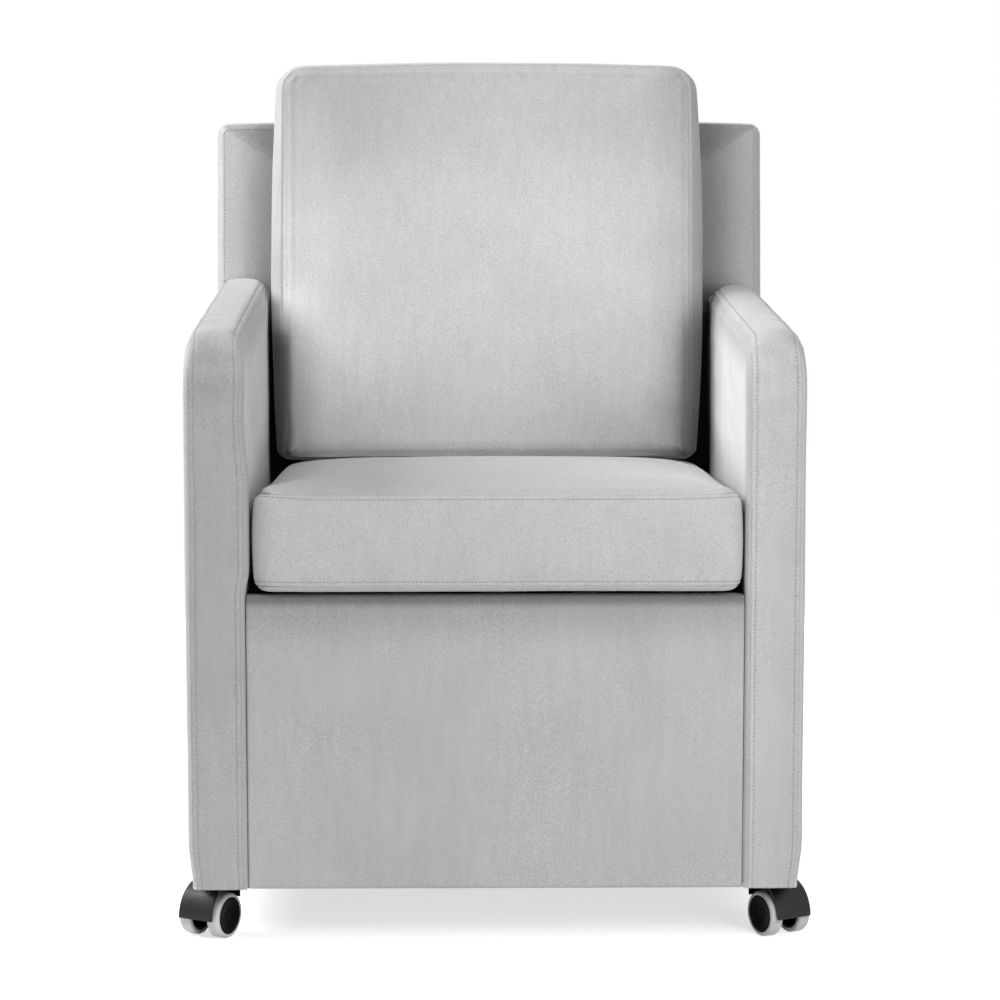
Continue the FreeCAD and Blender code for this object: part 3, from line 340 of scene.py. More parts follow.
def spread(tree, value, low, high):
    """The middle part of a noise's range, spread from low to high."""
    return add(tree, "ShaderNodeMapRange", {"Value": value, 1: 0.3, 2: 0.7, 3: low, 4: high}).outputs[0]


def combine(tree, operation, *values):
    """Result of a sum on values or sockets."""
    return add(tree, "ShaderNodeMath", dict(enumerate(values)), operation=operation).outputs[0]


def rgba(colour):
    """Colour with full opacity."""
    return (*colour, 1.0)


def toned(tree, share, colour, dark, light):
    """Colour between its darker and its lighter tone."""
    tones = [rgba(channel * factor for channel in colour) for factor in (dark, light)]
    inputs = {0: share, 6: tones[0], 7: tones[1]}
    return add(tree, "ShaderNodeMix", inputs, data_type="RGBA").outputs[2]


def relief(tree, height, strength, depth):
    """Fine relief of a given depth."""
    inputs = {"Height": height, "Strength": strength, "Distance": depth}
    return add(tree, "ShaderNodeBump", inputs).outputs[0]


def velour_material(colours):
    """Polyester velour: short dense pile, dull face-on and pale at a glancing angle."""
    # Brushing leaves soft patches a hand's breadth across. The pile is under half a millimetre,
    # so its speckle is drawn coarser to show at this size.
    material, tree = new_material("polyester_velour")
    place = on_piece(tree)
    pile = clouds(tree, place, 1.1 * MM, 1.0)
    strokes = clouds(tree, on_piece(tree, (1.0, 1.0, 0.15)), 8 * MM, 2.0)
    patches = clouds(tree, place, 90 * MM, 3.0, 0.5)
    brushed = combine(
        tree, "MULTIPLY", spread(tree, strokes, 0.97, 1.03), spread(tree, patches, 0.965, 1.035)
    )
    mottled = combine(tree, "MULTIPLY", spread(tree, pile, 0.85, 1.15), brushed)
    # Each point's pile tone, with painted light and shade on the covers, scales the colour.
    nap_and_painted_light = add(tree, "ShaderNodeAttribute", attribute_name="nap_and_painted_light").outputs["Fac"]
    tone = combine(tree, "MULTIPLY", mottled, nap_and_painted_light)
    shade = add(tree, "ShaderNodeVectorMath", {0: colours.velour, "Scale": tone}, operation="SCALE")
    inputs = {
        "Base Color": shade.outputs[0],
        "Roughness": 0.95,
        "Specular IOR Level": 0.1,
        "Sheen Weight": 0.25,
        "Sheen Roughness": 0.45,
        "Normal": relief(tree, pile, 0.35, 0.3 * MM),
    }
    finish_material(tree, inputs)
    return material


def thread_material(colours):
    """Twisted polyester thread: a little glossier than the pile, with a fine twist."""
    material, tree = new_material("polyester_thread")
    twist = clouds(tree, on_piece(tree), 0.6 * MM, 1.0)
    tone = toned(tree, twist, colours.thread, 0.7, 1.2)
    finish_material(tree, {"Base Color": tone, "Roughness": 0.6, "Specular IOR Level": 0.3})
    return material


def moulded_material(name, colour, roughness, specular, grain):
    """Injection-moulded plastic or rubber: even colour, fine mould grain, slightly uneven gloss."""
    material, tree = new_material(name)
    place = on_piece(tree)
    skin = clouds(tree, place, grain, 3.0)
    scuff = clouds(tree, place, 12 * MM, 4.0)
    inputs = {
        "Base Color": toned(tree, scuff, colour, 0.88, 1.1),
        "Roughness": spread(tree, scuff, roughness - 0.08, roughness + 0.1),
        "IOR": 1.5,
        "Specular IOR Level": specular,
        "Normal": relief(tree, skin, 0.25, 0.1 * MM),
    }
    finish_material(tree, inputs)
    return material


def steel_material(name, colour, roughness):
    """Drawn or rolled steel: plain metal with a few darker and duller patches."""
    material, tree = new_material(name)
    patches = clouds(tree, on_piece(tree), 4 * MM, 5.0)
    tone = toned(tree, patches, colour, 0.8, 1.0)
    gloss = spread(tree, patches, roughness - 0.1, roughness + 0.12)
    finish_material(tree, {"Base Color": tone, "Metallic": 1.0, "Roughness": gloss})
    return material


def pine_material(name, colour, stretch):
    """Sawn pine: growth lines a few millimetres apart along the piece, rough from the saw."""
    material, tree = new_material(name)
    rings = clouds(tree, on_piece(tree, stretch), 6 * MM, 4.0, 0.6)
    tone = toned(tree, rings, colour, 0.68, 1.15)
    rough = relief(tree, rings, 0.4, 0.3 * MM)
    finish_material(tree, {"Base Color": tone, "Roughness": 0.75, "Normal": rough})
    return material


def fibre_material(name, colour, fibre, roughness):
    """Matted or woven fibres: hardboard, webbing or spun cloth, told apart by colour and fibre size."""
    material, tree = new_material(name)
    place = on_piece(tree)
    fibres = add(tree, "ShaderNodeTexVoronoi", {"Vector": place, "Scale": 1 / fibre}, feature="F1")
    matted = fibres.outputs["Distance"]
    mixed = combine(tree, "MULTIPLY_ADD", matted, 0.6, clouds(tree, place, 12 * fibre, 3.0))
    tone = toned(tree, mixed, colour, 0.7, 1.25)
    rough = relief(tree, matted, 0.4, 0.2 * MM)
    finish_material(tree, {"Base Color": tone, "Roughness": roughness, "Normal": rough})
    return material


def edge_stops(length, pitch, steps):
    """Places along one edge of a block: the given steps at both ends, an even pitch between."""
    near = [step * MM for step in steps if step * MM < 0.4 * length]
    middle = length - 2 * near[-1]
    count = max(2, round(middle / pitch))
    inner = [near[-1] + middle * step / count for step in range(1, count)]
    far = [length - step for step in reversed(near)]
    return np.array(near + inner + far)


def on_round(first, second, radius):
    """Distances from the two faces at an edge, moved on to a round of that radius."""
    past_first = np.clip(radius - first, 0, None)
    past_second = np.clip(radius - second, 0, None)
    far = np.hypot(past_first, past_second)
    shrink = np.maximum(past_first, past_second) / np.maximum(far, 1e-12)
    shrink[far < 1e-12] = 1.0
    return first + past_first * (1 - shrink), second + past_second * (1 - shrink)


def shell_faces(index):
    """Quads of a grid's six sides, facing outwards."""
    faces = []
    for axis in range(3):
        for end in (0, -1):
            side = np.take(index, end, axis=axis)
            quads = np.stack([side[:-1, :-1], side[1:, :-1], side[1:, 1:], side[:-1, 1:]], axis=-1)
            quads = quads.reshape(-1, 4)
            faces.append(quads[:, ::-1] if (axis == 1) == (end == -1) else quads)
    return np.concatenate(faces)


# Sides of a padded block's outline, and the way that each one faces.
SIDES = {"start": (-1.0, 0.0), "end": (1.0, 0.0), "low": (0.0, -1.0), "high": (0.0, 1.0)}


class Shell:
    """Closed grid over a padded block: two panels span p and q, and a strip of width t joins them.

    u, v and w are the same three places, from -1 at one end to 1 at the other.
    """

    def __init__(self, size, pitch, corners, edges, steps=EDGE_STEPS, side_edges=None):
        """Corners give the outline's radius by end of p and q; edges the rounding at both panels,
        and side_edges another pair on one side of the outline."""
        self.stops = [edge_stops(length, pitch, steps) for length in size]
        counts = [len(row) for row in self.stops]
        spots = np.array(list(np.ndindex(*counts)))
        outer = ((spots == 0) | (spots == np.array(counts) - 1)).any(axis=1)
        spots = spots[outer]
        self.index = np.full(counts, -1)
        self.index[tuple(spots.T)] = np.arange(len(spots))
        self.faces = shell_faces(self.index)
        self.place = [self.stops[axis][spots[:, axis]] for axis in range(3)]
        p, q, t = self.place
        self.u, self.v, self.w = (2 * place / span - 1 for place, span in zip(self.place, size))
        sides = np.array([p, size[0] - p, q, size[1] - q])
        self.depth = sides.min(axis=0)
        self.from_side = sides[:2].min(axis=0)
        self.far_panel = t > size[2] / 2
        across = np.minimum(t, size[2] - t)
        self.on_panel = across == 0
        self.on_near = self.on_panel & ~self.far_panel
        self.on_far = self.on_panel & self.far_panel
        self.past_edge = np.where(self.on_panel, -self.depth, across)
        self.out = np.array(list(SIDES.values()))[sides.argmin(axis=0)]
        flat = np.stack([p, q], axis=1)
        for (end_p, end_q), radius in corners.items():
            signs = (2 * end_p - 1, 2 * end_q - 1)
            self.round_corner(flat, sides[end_p], sides[2 + end_q], signs, radius)
        radius = np.where(self.far_panel, edges[1], edges[0])
        for side, pair in (side_edges or {}).items():
            other = np.where(self.far_panel, pair[1], pair[0])
            radius = radius + (other - radius) * np.clip(self.out @ np.array(SIDES[side]), 0, 1)
        depth, across = on_round(self.depth, across, radius)
        flat -= self.out * (depth - self.depth)[:, None]
        self.p, self.q = flat.T
        self.t = np.where(self.far_panel, size[2] - across, across)
        self.upward = np.clip(self.out[:, 1], 0, 1)

    def round_corner(self, flat, from_p, from_q, signs, radius):
        """Moves the points near one upright corner of the outline on to its round."""
        near = (from_p < radius) & (from_q < radius)
        past = np.stack([radius - from_p[near], radius - from_q[near]], axis=1)
        far = np.hypot(past[:, 0], past[:, 1])[:, None]
        shrink = past.max(axis=1)[:, None] / far
        flat[near] -= signs * past * (1 - shrink)
        self.out[near] = signs * past / far

    def by_panel(self, near_panel, strip, far_panel):
        """One of three values at each point, told apart at the seams."""
        panel = np.where(self.far_panel, far_panel, near_panel)
        return np.where(self.past_edge > SEAM, strip, panel)

    def at_seam(self):
        """Whether each point lies on a seam."""
        return np.abs(self.past_edge - SEAM) < 0.1 * MM

    def strip_row(self, step, far_panel, sides):
        """Points along the strip beside one panel, over the named sides of the outline."""
        return rim(self.index[:, :, -1 - step if far_panel else step], sides)

    def panel_row(self, step, far_panel, sides):
        """Points on one panel, some steps in from its edge, over the named sides of the outline."""
        return rim(self.index[step:-step, step:-step, -1 if far_panel else 0], sides)


def rim(grid, sides):
    """Points along the named sides of a grid, each taken forwards or backwards."""
    runs = {"start": grid[0], "end": grid[-1], "low": grid[:, 0], "high": grid[:, -1]}
    return np.concatenate([runs[name][::way] for name, way in sides])


def normals_of(points, faces):
    """Outward direction at each point."""
    corners = [points[faces[:, corner]] for corner in range(4)]
    facing = np.cross(corners[2] - corners[0], corners[3] - corners[1])
    total = np.zeros_like(points)
    for corner in range(4):
        np.add.at(total, faces[:, corner], facing)
    return total / np.maximum(np.linalg.norm(total, axis=1, keepdims=True), 1e-12)


def moved_out(points, faces, distance):
    """Points moved along their outward directions."""
    return points + normals_of(points, faces) * distance[:, None]


def outward(points, faces):
    """Faces turned, if need be, so that the closed form has a positive volume."""
    a, b, c, d = (points[faces[:, corner]] for corner in range(4))
    volume = (a * np.cross(b, c)).sum() + (a * np.cross(c, d)).sum()
    return faces if volume > 0 else faces[:, ::-1]


def dent(distance, width):
    """Share of a dent's depth at a distance from its line."""
    return np.exp(-((distance / width) ** 2))


def ease(value, start, end):
    """Smooth step from 0 at start to 1 at end."""
    share = np.clip((value - start) / (end - start), 0, 1)
    return share * share * (3 - 2 * share)


def ramp(distance, span):
    """Smooth step from 0 to 1 over a named span."""
    start, end = SPANS[span]
    return ease(distance, start * MM, end * MM)


def blend(low, high, share):
    """Value between two others."""
    return low * (1 - share) + high * share


def unevenness(points, size, seed):
    """Soft lumps of a given size, from -1 to 1, the same on every run."""
    shift = Vector((seed, 2.3 * seed, 4.1 * seed))
    return np.array([noise.noise(Vector(point) / size + shift) for point in points])


def lumps(points, cover, side=0):
    """Height of a cover's lumps at each point; a side has its own."""
    height, spacing, seed = LUMPS[cover]
    return height * MM * unevenness(points, spacing * MM, seed + side)


def sewn(sizes, shell, points, faces, seam_depth, stitch_depth=0.0):
    """Points drawn in along the seams beside both panels, and along the topstitch."""
    seam = seam_depth * dent(shell.past_edge - SEAM, sizes.seam_width)
    stitch = stitch_depth * dent(shell.past_edge - STITCH, sizes.stitch_width)
    return moved_out(points, faces, -seam - stitch)


def swelling(shell, points, held, cap):
    """How far the filling pushes each point of a cover, which stays put at the held points."""
    piece = mesh_object("cover_in_work", points, outward(points, shell.faces), None)
    group = piece.vertex_groups.new(name="held")
    group.add(np.flatnonzero(held).tolist(), 1.0, "REPLACE")
    cloth = piece.modifiers.new("Cover", "CLOTH")
    cloth.settings.vertex_group_mass = group.name
    cloth.settings.use_pressure = True
    cloth.settings.uniform_pressure_force = PRESSURE
    cloth.settings.effector_weights.gravity = 0.0
    scene = bpy.context.scene
    for step in range(1, FRAMES + 1):
        scene.frame_set(step)
    graph = bpy.context.evaluated_depsgraph_get()
    moved = np.array([vertex.co for vertex in piece.evaluated_get(graph).data.vertices])
    bpy.data.objects.remove(piece)
    scene.frame_set(1)
    shift = moved - points
    far = np.maximum(np.linalg.norm(shift, axis=1, keepdims=True), 1e-9)
    return shift * cap * np.tanh(far / cap) / far


def carried(coarse, fine, shift):
    """Movement of a coarse grid's points, carried over to a fine grid on the same block."""
    grid = np.zeros((*coarse.index.shape, 3))
    grid[coarse.index >= 0] = shift[coarse.index[coarse.index >= 0]]
    cells = []
    shares = []
    for stops, place in zip(coarse.stops, fine.place):
        cell = np.clip(np.searchsorted(stops, place, side="right") - 1, 0, len(stops) - 2)
        cells.append(cell)
        shares.append((place - stops[cell]) / (stops[cell + 1] - stops[cell]))
    moved = np.zeros((len(shares[0]), 3))
    for corner in np.ndindex(2, 2, 2):
        weight = np.ones(len(moved))
        for share, end in zip(shares, corner):
            weight *= share if end else 1 - share
        spot = tuple(cell + end for cell, end in zip(cells, corner))
        moved += weight[:, None] * grid[spot]
    return moved


def stuffed(cut, shape, held, cap):
    """Grid and points of a cushion's cover, swollen by its filling between the seams."""
    fine = cut(EDGE_STEPS)
    points = shape(fine)
    coarse = cut(COVER_STEPS)
    shift = swelling(coarse, shape(coarse), held(coarse), cap)
    points += carried(coarse, fine, shift)
    return fine, points


def mesh_object(name, points, faces, material):
    """Smooth mesh piece at the origin."""
    mesh = bpy.data.meshes.new(name)
    mesh.from_pydata(points.tolist(), [], faces.tolist())
    mesh.polygons.foreach_set("use_smooth", [True] * len(mesh.polygons))
    mesh.materials.append(material)
    mesh.update()
    piece = bpy.data.objects.new(name, mesh)
    bpy.context.scene.collection.objects.link(piece)
    return piece


def upholster(name, points, faces, nap_and_painted_light, nodes):
    """Padded velour piece on the chair, with one live level of smoothing, in place of some nodes."""
    piece = mesh_object(name, points, outward(points, faces), velour())
    lay = piece.data.attributes.new("nap_and_painted_light", "FLOAT", "POINT")
    lay.data.foreach_set("value", np.broadcast_to(nap_and_painted_light, len(points)).astype(np.float32))
    smooth = piece.modifiers.new("Smooth", "SUBSURF")
    smooth.levels = 1
    smooth.render_levels = 1
    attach(piece, "chair")
    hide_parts(*nodes)
    return piece


# Sewn lines of the covers, kept until the thread is laid.
THREADS = []


def sew_line(sizes, points, faces, row):
    """Keeps a line of the cover for the stitches, a little proud of the cloth."""
    lifted = points + normals_of(points, outward(points, faces)) * sizes.thread_lift
    THREADS.append(lifted[row])


def sew_across(sizes, points, faces, start, end):
    """Keeps a straight seam over a panel, laid on it from the front."""
    surface = BVHTree.FromPolygons(points.tolist(), faces.tolist())
    rearward = Vector((0, 1, 0))
    line = []
    for share in np.linspace(0, 1, MITRE_POINTS):
        spot = Vector(start).lerp(Vector(end), share)
        hit = surface.ray_cast(spot - MITRE_RUN_UP * rearward, rearward)[0]
        if hit is None:
            raise RuntimeError("a seam misses its panel")
        line.append(np.array(hit) - sizes.mitre_lift * BEHIND)
    THREADS.append(np.array(line))


def velour():
    """The chair's velour, made once."""
    colours = bpy.context.scene.armchair_colours
    return bpy.data.materials.get("polyester_velour") or velour_material(colours)


def dust_cloth():
    """Black spun cloth, under the chair and where the back is out of sight, where its black also stands in
    for the shade in the gaps beside the cushion; made once.
    """
    name = "spun_dust_cloth"
    shade = bpy.context.scene.armchair_colours.dust_cloth
    return bpy.data.materials.get(name) or fibre_material(name, shade, 0.9 * MM, 0.9)


def arm_shell(sizes, block):
    """Grid of an arm: its outer panel, the band over its front and top, and its inner panel."""
    hidden = sizes.hidden_edge
    corners = {(0, 1): sizes.arm_corner, (1, 1): hidden, (0, 0): hidden, (1, 0): hidden}
    edges = (sizes.arm_edge, sizes.arm_edge)
    side_edges = {"low": (sizes.arm_foot_edge, hidden), "end": (hidden, hidden)}
    return Shell(block, sizes.arm_grid, corners, edges, side_edges=side_edges)


def arm_form(sizes, shell, block, box, side):
    """Points of an arm, domed on top and turned in at foot and shoulder; the left one is fuller."""
    low, high = box
    left = float(side < 0)
    dome = sizes.arm_dome * shell.upward * (1 - np.abs(shell.w) ** (2 + left)) * ~shell.on_panel
    to_top = ease(shell.q, 0.75 * block[1], block[1])
    rise = left * sizes.left_arm_rise * to_top * shell.p / block[0]
    z = low.z + shell.q + dome + rise
    rear = high.y + (z - high.z) * math.tan(LEAN)
    y = low.y + shell.p * (rear - low.y) / block[0]
    by_foot = 1 - ramp(z - low.z, "arm_foot")
    by_shoulder = (1 - ramp(block[1] - shell.q, "shoulder_drop")) * (1 - ramp(shell.p, "shoulder_reach"))
    turn = (sizes.arm_tuck * by_foot + sizes.arm_shoulder * by_shoulder) * (1 - shell.t / block[2])
    by_seat = ramp(z, "seat_foot") * (1 - ramp(z, "seat_head")) * (1 - ramp(shell.p, "snug_reach"))
    snug = left * sizes.left_arm_snug * by_seat * (1 + shell.w) / 2
    outer = high.x if side > 0 else low.x
    x = outer - side * (shell.t + turn + snug)
    return np.stack([x, y, z], axis=1)


def arm_nap_and_painted_light(name, side, shell, block, points, z, by_corner):
    """Pile tone of an arm, with painted shade below the seat's top, rubbed pile and painted highlights at
    the corner, and painted light on the right.
    """
    band_nap_and_painted_light = blend(NAP_AND_PAINTED_LIGHT[f"{name}_front"], NAP_AND_PAINTED_LIGHT[f"{name}_top"], shell.upward)
    inward = ramp(np.minimum(shell.place[0], block[1] - shell.place[1]), "inner_margin")
    below_seat = 1 - ramp(z, "below_seat")
    strokes = 1 + SHADE["arm_strokes"] * unevenness(points * (1, 0.4, 1), 20 * MM, 21 + side)
    # Painted shade on the inner panel below the seat's top.
    inner_nap_and_painted_light = NAP_AND_PAINTED_LIGHT[f"{name}_inner"] * (1 - SHADE["arm_painted_shade_below_seat"] * below_seat) * strokes
    # Rubbed pile and painted highlights by the front corner.
    painted_light_patch = 1 + SHADE["arm_rubbed_pile_and_painted_light"] * by_corner * unevenness(points * (0.5, 1, 1), 22 * MM, 27 + side)
    # Painted light on the right arm, paler towards its inner side and up its front.
    lit = SHADE["arm_lit_edge"] * shell.w
    lit = lit + SHADE["arm_lit_front"] * ramp(z, "lit_front") * (1 - shell.upward)
    lit = 1 + lit * (side > 0)
    return shell.by_panel(NAP_AND_PAINTED_LIGHT["arm_outer"], band_nap_and_painted_light * painted_light_patch * lit, blend(band_nap_and_painted_light, inner_nap_and_painted_light, inward))


class ARMCHAIR_OT_arms(bpy.types.Operator):
    """Makes both padded arms, each with a band over its front and top"""

    bl_idname = "armchair.arms"
    bl_label = "Arms"

    def execute(self, context):
        sizes = context.scene.armchair_sizes
        for name, side in (("left", -1), ("right", 1)):
            low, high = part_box(f"{name}_arm_cover")
            block = (high.y - low.y, high.z - low.z - sizes.arm_dome, high.x - low.x)
            shell = arm_shell(sizes, block)
            plain = arm_form(sizes, shell, block, (low, high), side)
            faces = outward(plain, shell.faces)
            by_top = 1 - ramp(block[1] - shell.q, "crease_drop")
            by_corner = (1 - ramp(shell.p, "crease_reach")) * by_top * ~shell.on_panel * (1 - shell.w**4)
            creases = sizes.arm_crease * by_corner * unevenness(plain * (0.25, 1, 1), 20 * MM, 7 + side)
            stray = sizes.arm_waver * unevenness(plain * (0, 1, 1), 35 * MM, 13 + side)
            points = moved_out(plain, faces, lumps(plain, "arm", side) + creases)
            points[:, 0] += stray * by_top * (1 + shell.w) / 2
            points = sewn(sizes, shell, points, faces, 0.7 * sizes.seam_depth, sizes.stitch_depth)
            nap_and_painted_light = arm_nap_and_painted_light(name, side, shell, block, points, plain[:, 2], by_corner)
            nodes = (f"{name}_arm_cover", f"{name}_arm_foam")
            upholster(f"{name}_arm", points, faces, nap_and_painted_light, nodes)
            for far_panel in (False, True):
                row = shell.strip_row(STITCH_STEP, far_panel, (("start", 1), ("high", 1)))
                sew_line(sizes, points, faces, row)
        return {"FINISHED"}


def back_point(x, rise, behind):
    """Points of the leaning back: rise along it from the arm tops, behind its front face."""
    arm_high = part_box("left_arm_cover")[1]
    start = np.array([0.0, arm_high.y + BACK_GAP, arm_high.z])
    return start + np.outer(x, SIDEWAYS) + np.outer(rise, RISE) + np.outer(behind, BEHIND)


def back_nap_and_painted_light(shell, points, rise, below_mitre):
    """Pile tone of the back: painted shade on its right side and towards the cushion, darker above the
    mitres, and painted shade where the cushion hides it.
    """
    # Painted shade: the right side, and the middle towards the cushion, are drawn darker.
    from_middle = ramp(np.abs(points[:, 0]), "back_middle")
    left_nap_and_painted_light = blend(NAP_AND_PAINTED_LIGHT["back_left_middle"], NAP_AND_PAINTED_LIGHT["back_left_edge"], from_middle)
    right_nap_and_painted_light = blend(NAP_AND_PAINTED_LIGHT["back_right_middle"], NAP_AND_PAINTED_LIGHT["back_right_edge"], from_middle)
    front_nap_and_painted_light = np.where(shell.u < 0, left_nap_and_painted_light, right_nap_and_painted_light)
    front_nap_and_painted_light = front_nap_and_painted_light * (1 - SHADE["back_mitre"] * (1 - ramp(below_mitre, "mitre")))
    # Painted shade below the arm tops, beside the cushion.
    painted_shade_share = (1 - ramp(rise, "lining_and_painted_shade")) * (1 - from_middle)
    front_nap_and_painted_light = front_nap_and_painted_light * (1 - SHADE["back_painted_shade"] * painted_shade_share)
    return shell.by_panel(front_nap_and_painted_light, NAP_AND_PAINTED_LIGHT["back_rear"], NAP_AND_PAINTED_LIGHT["back_rear"])


class ARMCHAIR_OT_back(bpy.types.Operator):
    """Makes the padded back panel behind the arms, with its mitred border"""

    bl_idname = "armchair.back"
    bl_label = "Back panel"

    def execute(self, context):
        sizes = context.scene.armchair_sizes
        low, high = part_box("back_cover")
        arm_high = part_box("left_arm_cover")[1]
        foot = (low.z - arm_high.z) / math.cos(LEAN)
        head = (high.z - arm_high.z) / math.cos(LEAN)
        block = (high.x - low.x, head - foot, sizes.back_loft)
        hidden = sizes.hidden_edge
        corners = {(0, 1): sizes.back_corner, (1, 1): sizes.back_corner, (0, 0): hidden, (1, 0): hidden}
        edges = (sizes.back_edge, sizes.back_edge)
        shell = Shell(block, sizes.grid, corners, edges, side_edges={"low": (hidden, hidden)})
        rise = foot + shell.q
        tuck = sizes.arm_tuck * (1 - ramp(shell.q, "arm_foot")) * -shell.u
        bow = sizes.back_bow * (1 - shell.u**4) * ease(shell.v, 0.6, 1.0)
        points = back_point(low.x + shell.p + tuck, rise + bow, shell.t)
        faces = outward(points, shell.faces)
        points = moved_out(points, faces, lumps(points, "back"))
        points = sewn(sizes, shell, points, faces, sizes.seam_depth)
        points[:, 2] = np.maximum(points[:, 2], low.z)
        slope = (MITRE_INNER[1] - MITRE_OUTER[1]) / (MITRE_INNER[0] - MITRE_OUTER[0])
        from_outer = high.x - MITRE_OUTER[0] - np.abs(points[:, 0])
        below_mitre = head - MITRE_OUTER[1] - from_outer * slope - rise
        nap_and_painted_light = back_nap_and_painted_light(shell, points, rise, below_mitre)
        piece = upholster("back_panel", points, faces, nap_and_painted_light, ("back_cover", "back_foam"))
        piece.data.materials.append(dust_cloth())
        # Below the arm tops, the back's front takes the black cloth: a lining whose black also stands in for
        # the shade in the gaps.
        black_lining_and_gap_shade = shell.on_near & (rise < SPANS["lining_and_painted_shade"][0] * MM) & (np.abs(points[:, 0]) < abs(arm_high.x))
        for side in piece.data.polygons:
            side.material_index = int(all(black_lining_and_gap_shade[corner] for corner in side.vertices))
        for far_panel in (False, True):
            row = shell.panel_row(BORDER_STEP, far_panel, (("start", 1), ("high", 1), ("end", -1)))
            sew_line(sizes, points, faces, row)
        for side in (-1, 1):
            across = [side * (high.x - end[0]) for end in (MITRE_OUTER, MITRE_INNER)]
            heights = [head - end[1] for end in (MITRE_OUTER, MITRE_INNER)]
            sew_across(sizes, points, faces, *back_point(across, heights, [0, 0]))
        return {"FINISHED"}


class ARMCHAIR_OT_seat_cushion(bpy.types.Operator):
    """Makes the boxed seat cushion, which its filling swells at the top and front"""

    bl_idname = "armchair.seat_cushion"
    bl_label = "Seat cushion"

    def execute(self, context):
        sizes = context.scene.armchair_sizes
        low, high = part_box("seat_cushion_cover")
        bulge = sizes.seat_bulge
        block = (high.x - low.x - 2 * bulge, sizes.seat_length - 2 * bulge, sizes.seat_loft)

        def cut(steps):
            corners = {(p, q): sizes.seat_corner for p in (0, 1) for q in (0, 1)}
            return Shell(block, sizes.grid, corners, (sizes.seat_low_edge, sizes.seat_top_edge), steps)

        def shape(shell):
            to_top = (1 + shell.w) / 2
            lengthwise = (1 - np.abs(shell.v) ** 3) * (1 - ease(shell.v, 0.15, 0.75))
            crown = sizes.seat_crown * (1 - shell.u**4) * lengthwise * shell.on_far
            shoulder = np.clip(1 - shell.from_side / sizes.seat_shoulder, 0, 1) ** 2
            drop = sizes.seat_drop * shoulder * (1 + shell.v) / 2 * to_top
            by_corner = ease(np.abs(shell.u), 0.72, 1.0) * ease(-shell.v, 0.8, 1.0)
            ear = sizes.seat_ear * by_corner * np.where(shell.u < 0, 1.0, 0.5) * to_top
            swell = bulge * np.cos(shell.w * math.pi / 2) * ~shell.on_panel
            across = low.x + bulge + shell.p + shell.out[:, 0] * swell
            along = bulge + shell.q + shell.out[:, 1] * swell
            height = shell.t + crown - drop + ear
            return SEAT_NOSE + np.outer(across, SIDEWAYS) + np.outer(along, ALONG) + np.outer(height, ABOVE)

        def held(shell):
            beside_arm = ~shell.on_panel & (np.abs(shell.out[:, 0]) > 0.7)
            under_cushion = shell.v > 0.4
            return shell.at_seam() | shell.on_near | beside_arm | under_cushion

        shell, points = stuffed(cut, shape, held, sizes.seat_swell)
        faces = outward(points, shell.faces)
        points = moved_out(points, faces, lumps(points, "seat"))
        by_corner = ease(np.abs(shell.u), 0.8, 1.0) * ease(-shell.v, 0.7, 1.0)
        fold = sizes.seat_fold * by_corner * dent(shell.past_edge - SEAM, sizes.fold_width)
        points = moved_out(points, faces, -fold * (shell.far_panel & (shell.u < 0)))
        seam_depth = sizes.seam_depth * (0.6 + by_corner)
        points = sewn(sizes, shell, points, faces, seam_depth, sizes.stitch_depth)
        # Painted light and shade: the strip is drawn paler to the right, the top a little darker.
        strip_nap_and_painted_light = blend(NAP_AND_PAINTED_LIGHT["seat_strip_left"], NAP_AND_PAINTED_LIGHT["seat_strip_right"], (1 + shell.u) / 2)
        nap_and_painted_light = shell.by_panel(strip_nap_and_painted_light, strip_nap_and_painted_light, NAP_AND_PAINTED_LIGHT["seat_top"])
        nodes = ("seat_cushion_cover", "seat_cushion_core")
        upholster("seat_cushion", points, faces, nap_and_painted_light, nodes)
        for far_panel in (False, True):
            sides = (("start", -1), ("low", 1), ("end", 1), ("high", -1))
            sew_line(sizes, points, faces, shell.strip_row(STITCH_STEP, far_panel, sides))
        return {"FINISHED"}


def cushion_margin(sizes, shell):
    """Share of the round along the sides of the back cushion's front."""
    return np.clip(1 - shell.from_side / sizes.cushion_margin, 0, 1) ** 2


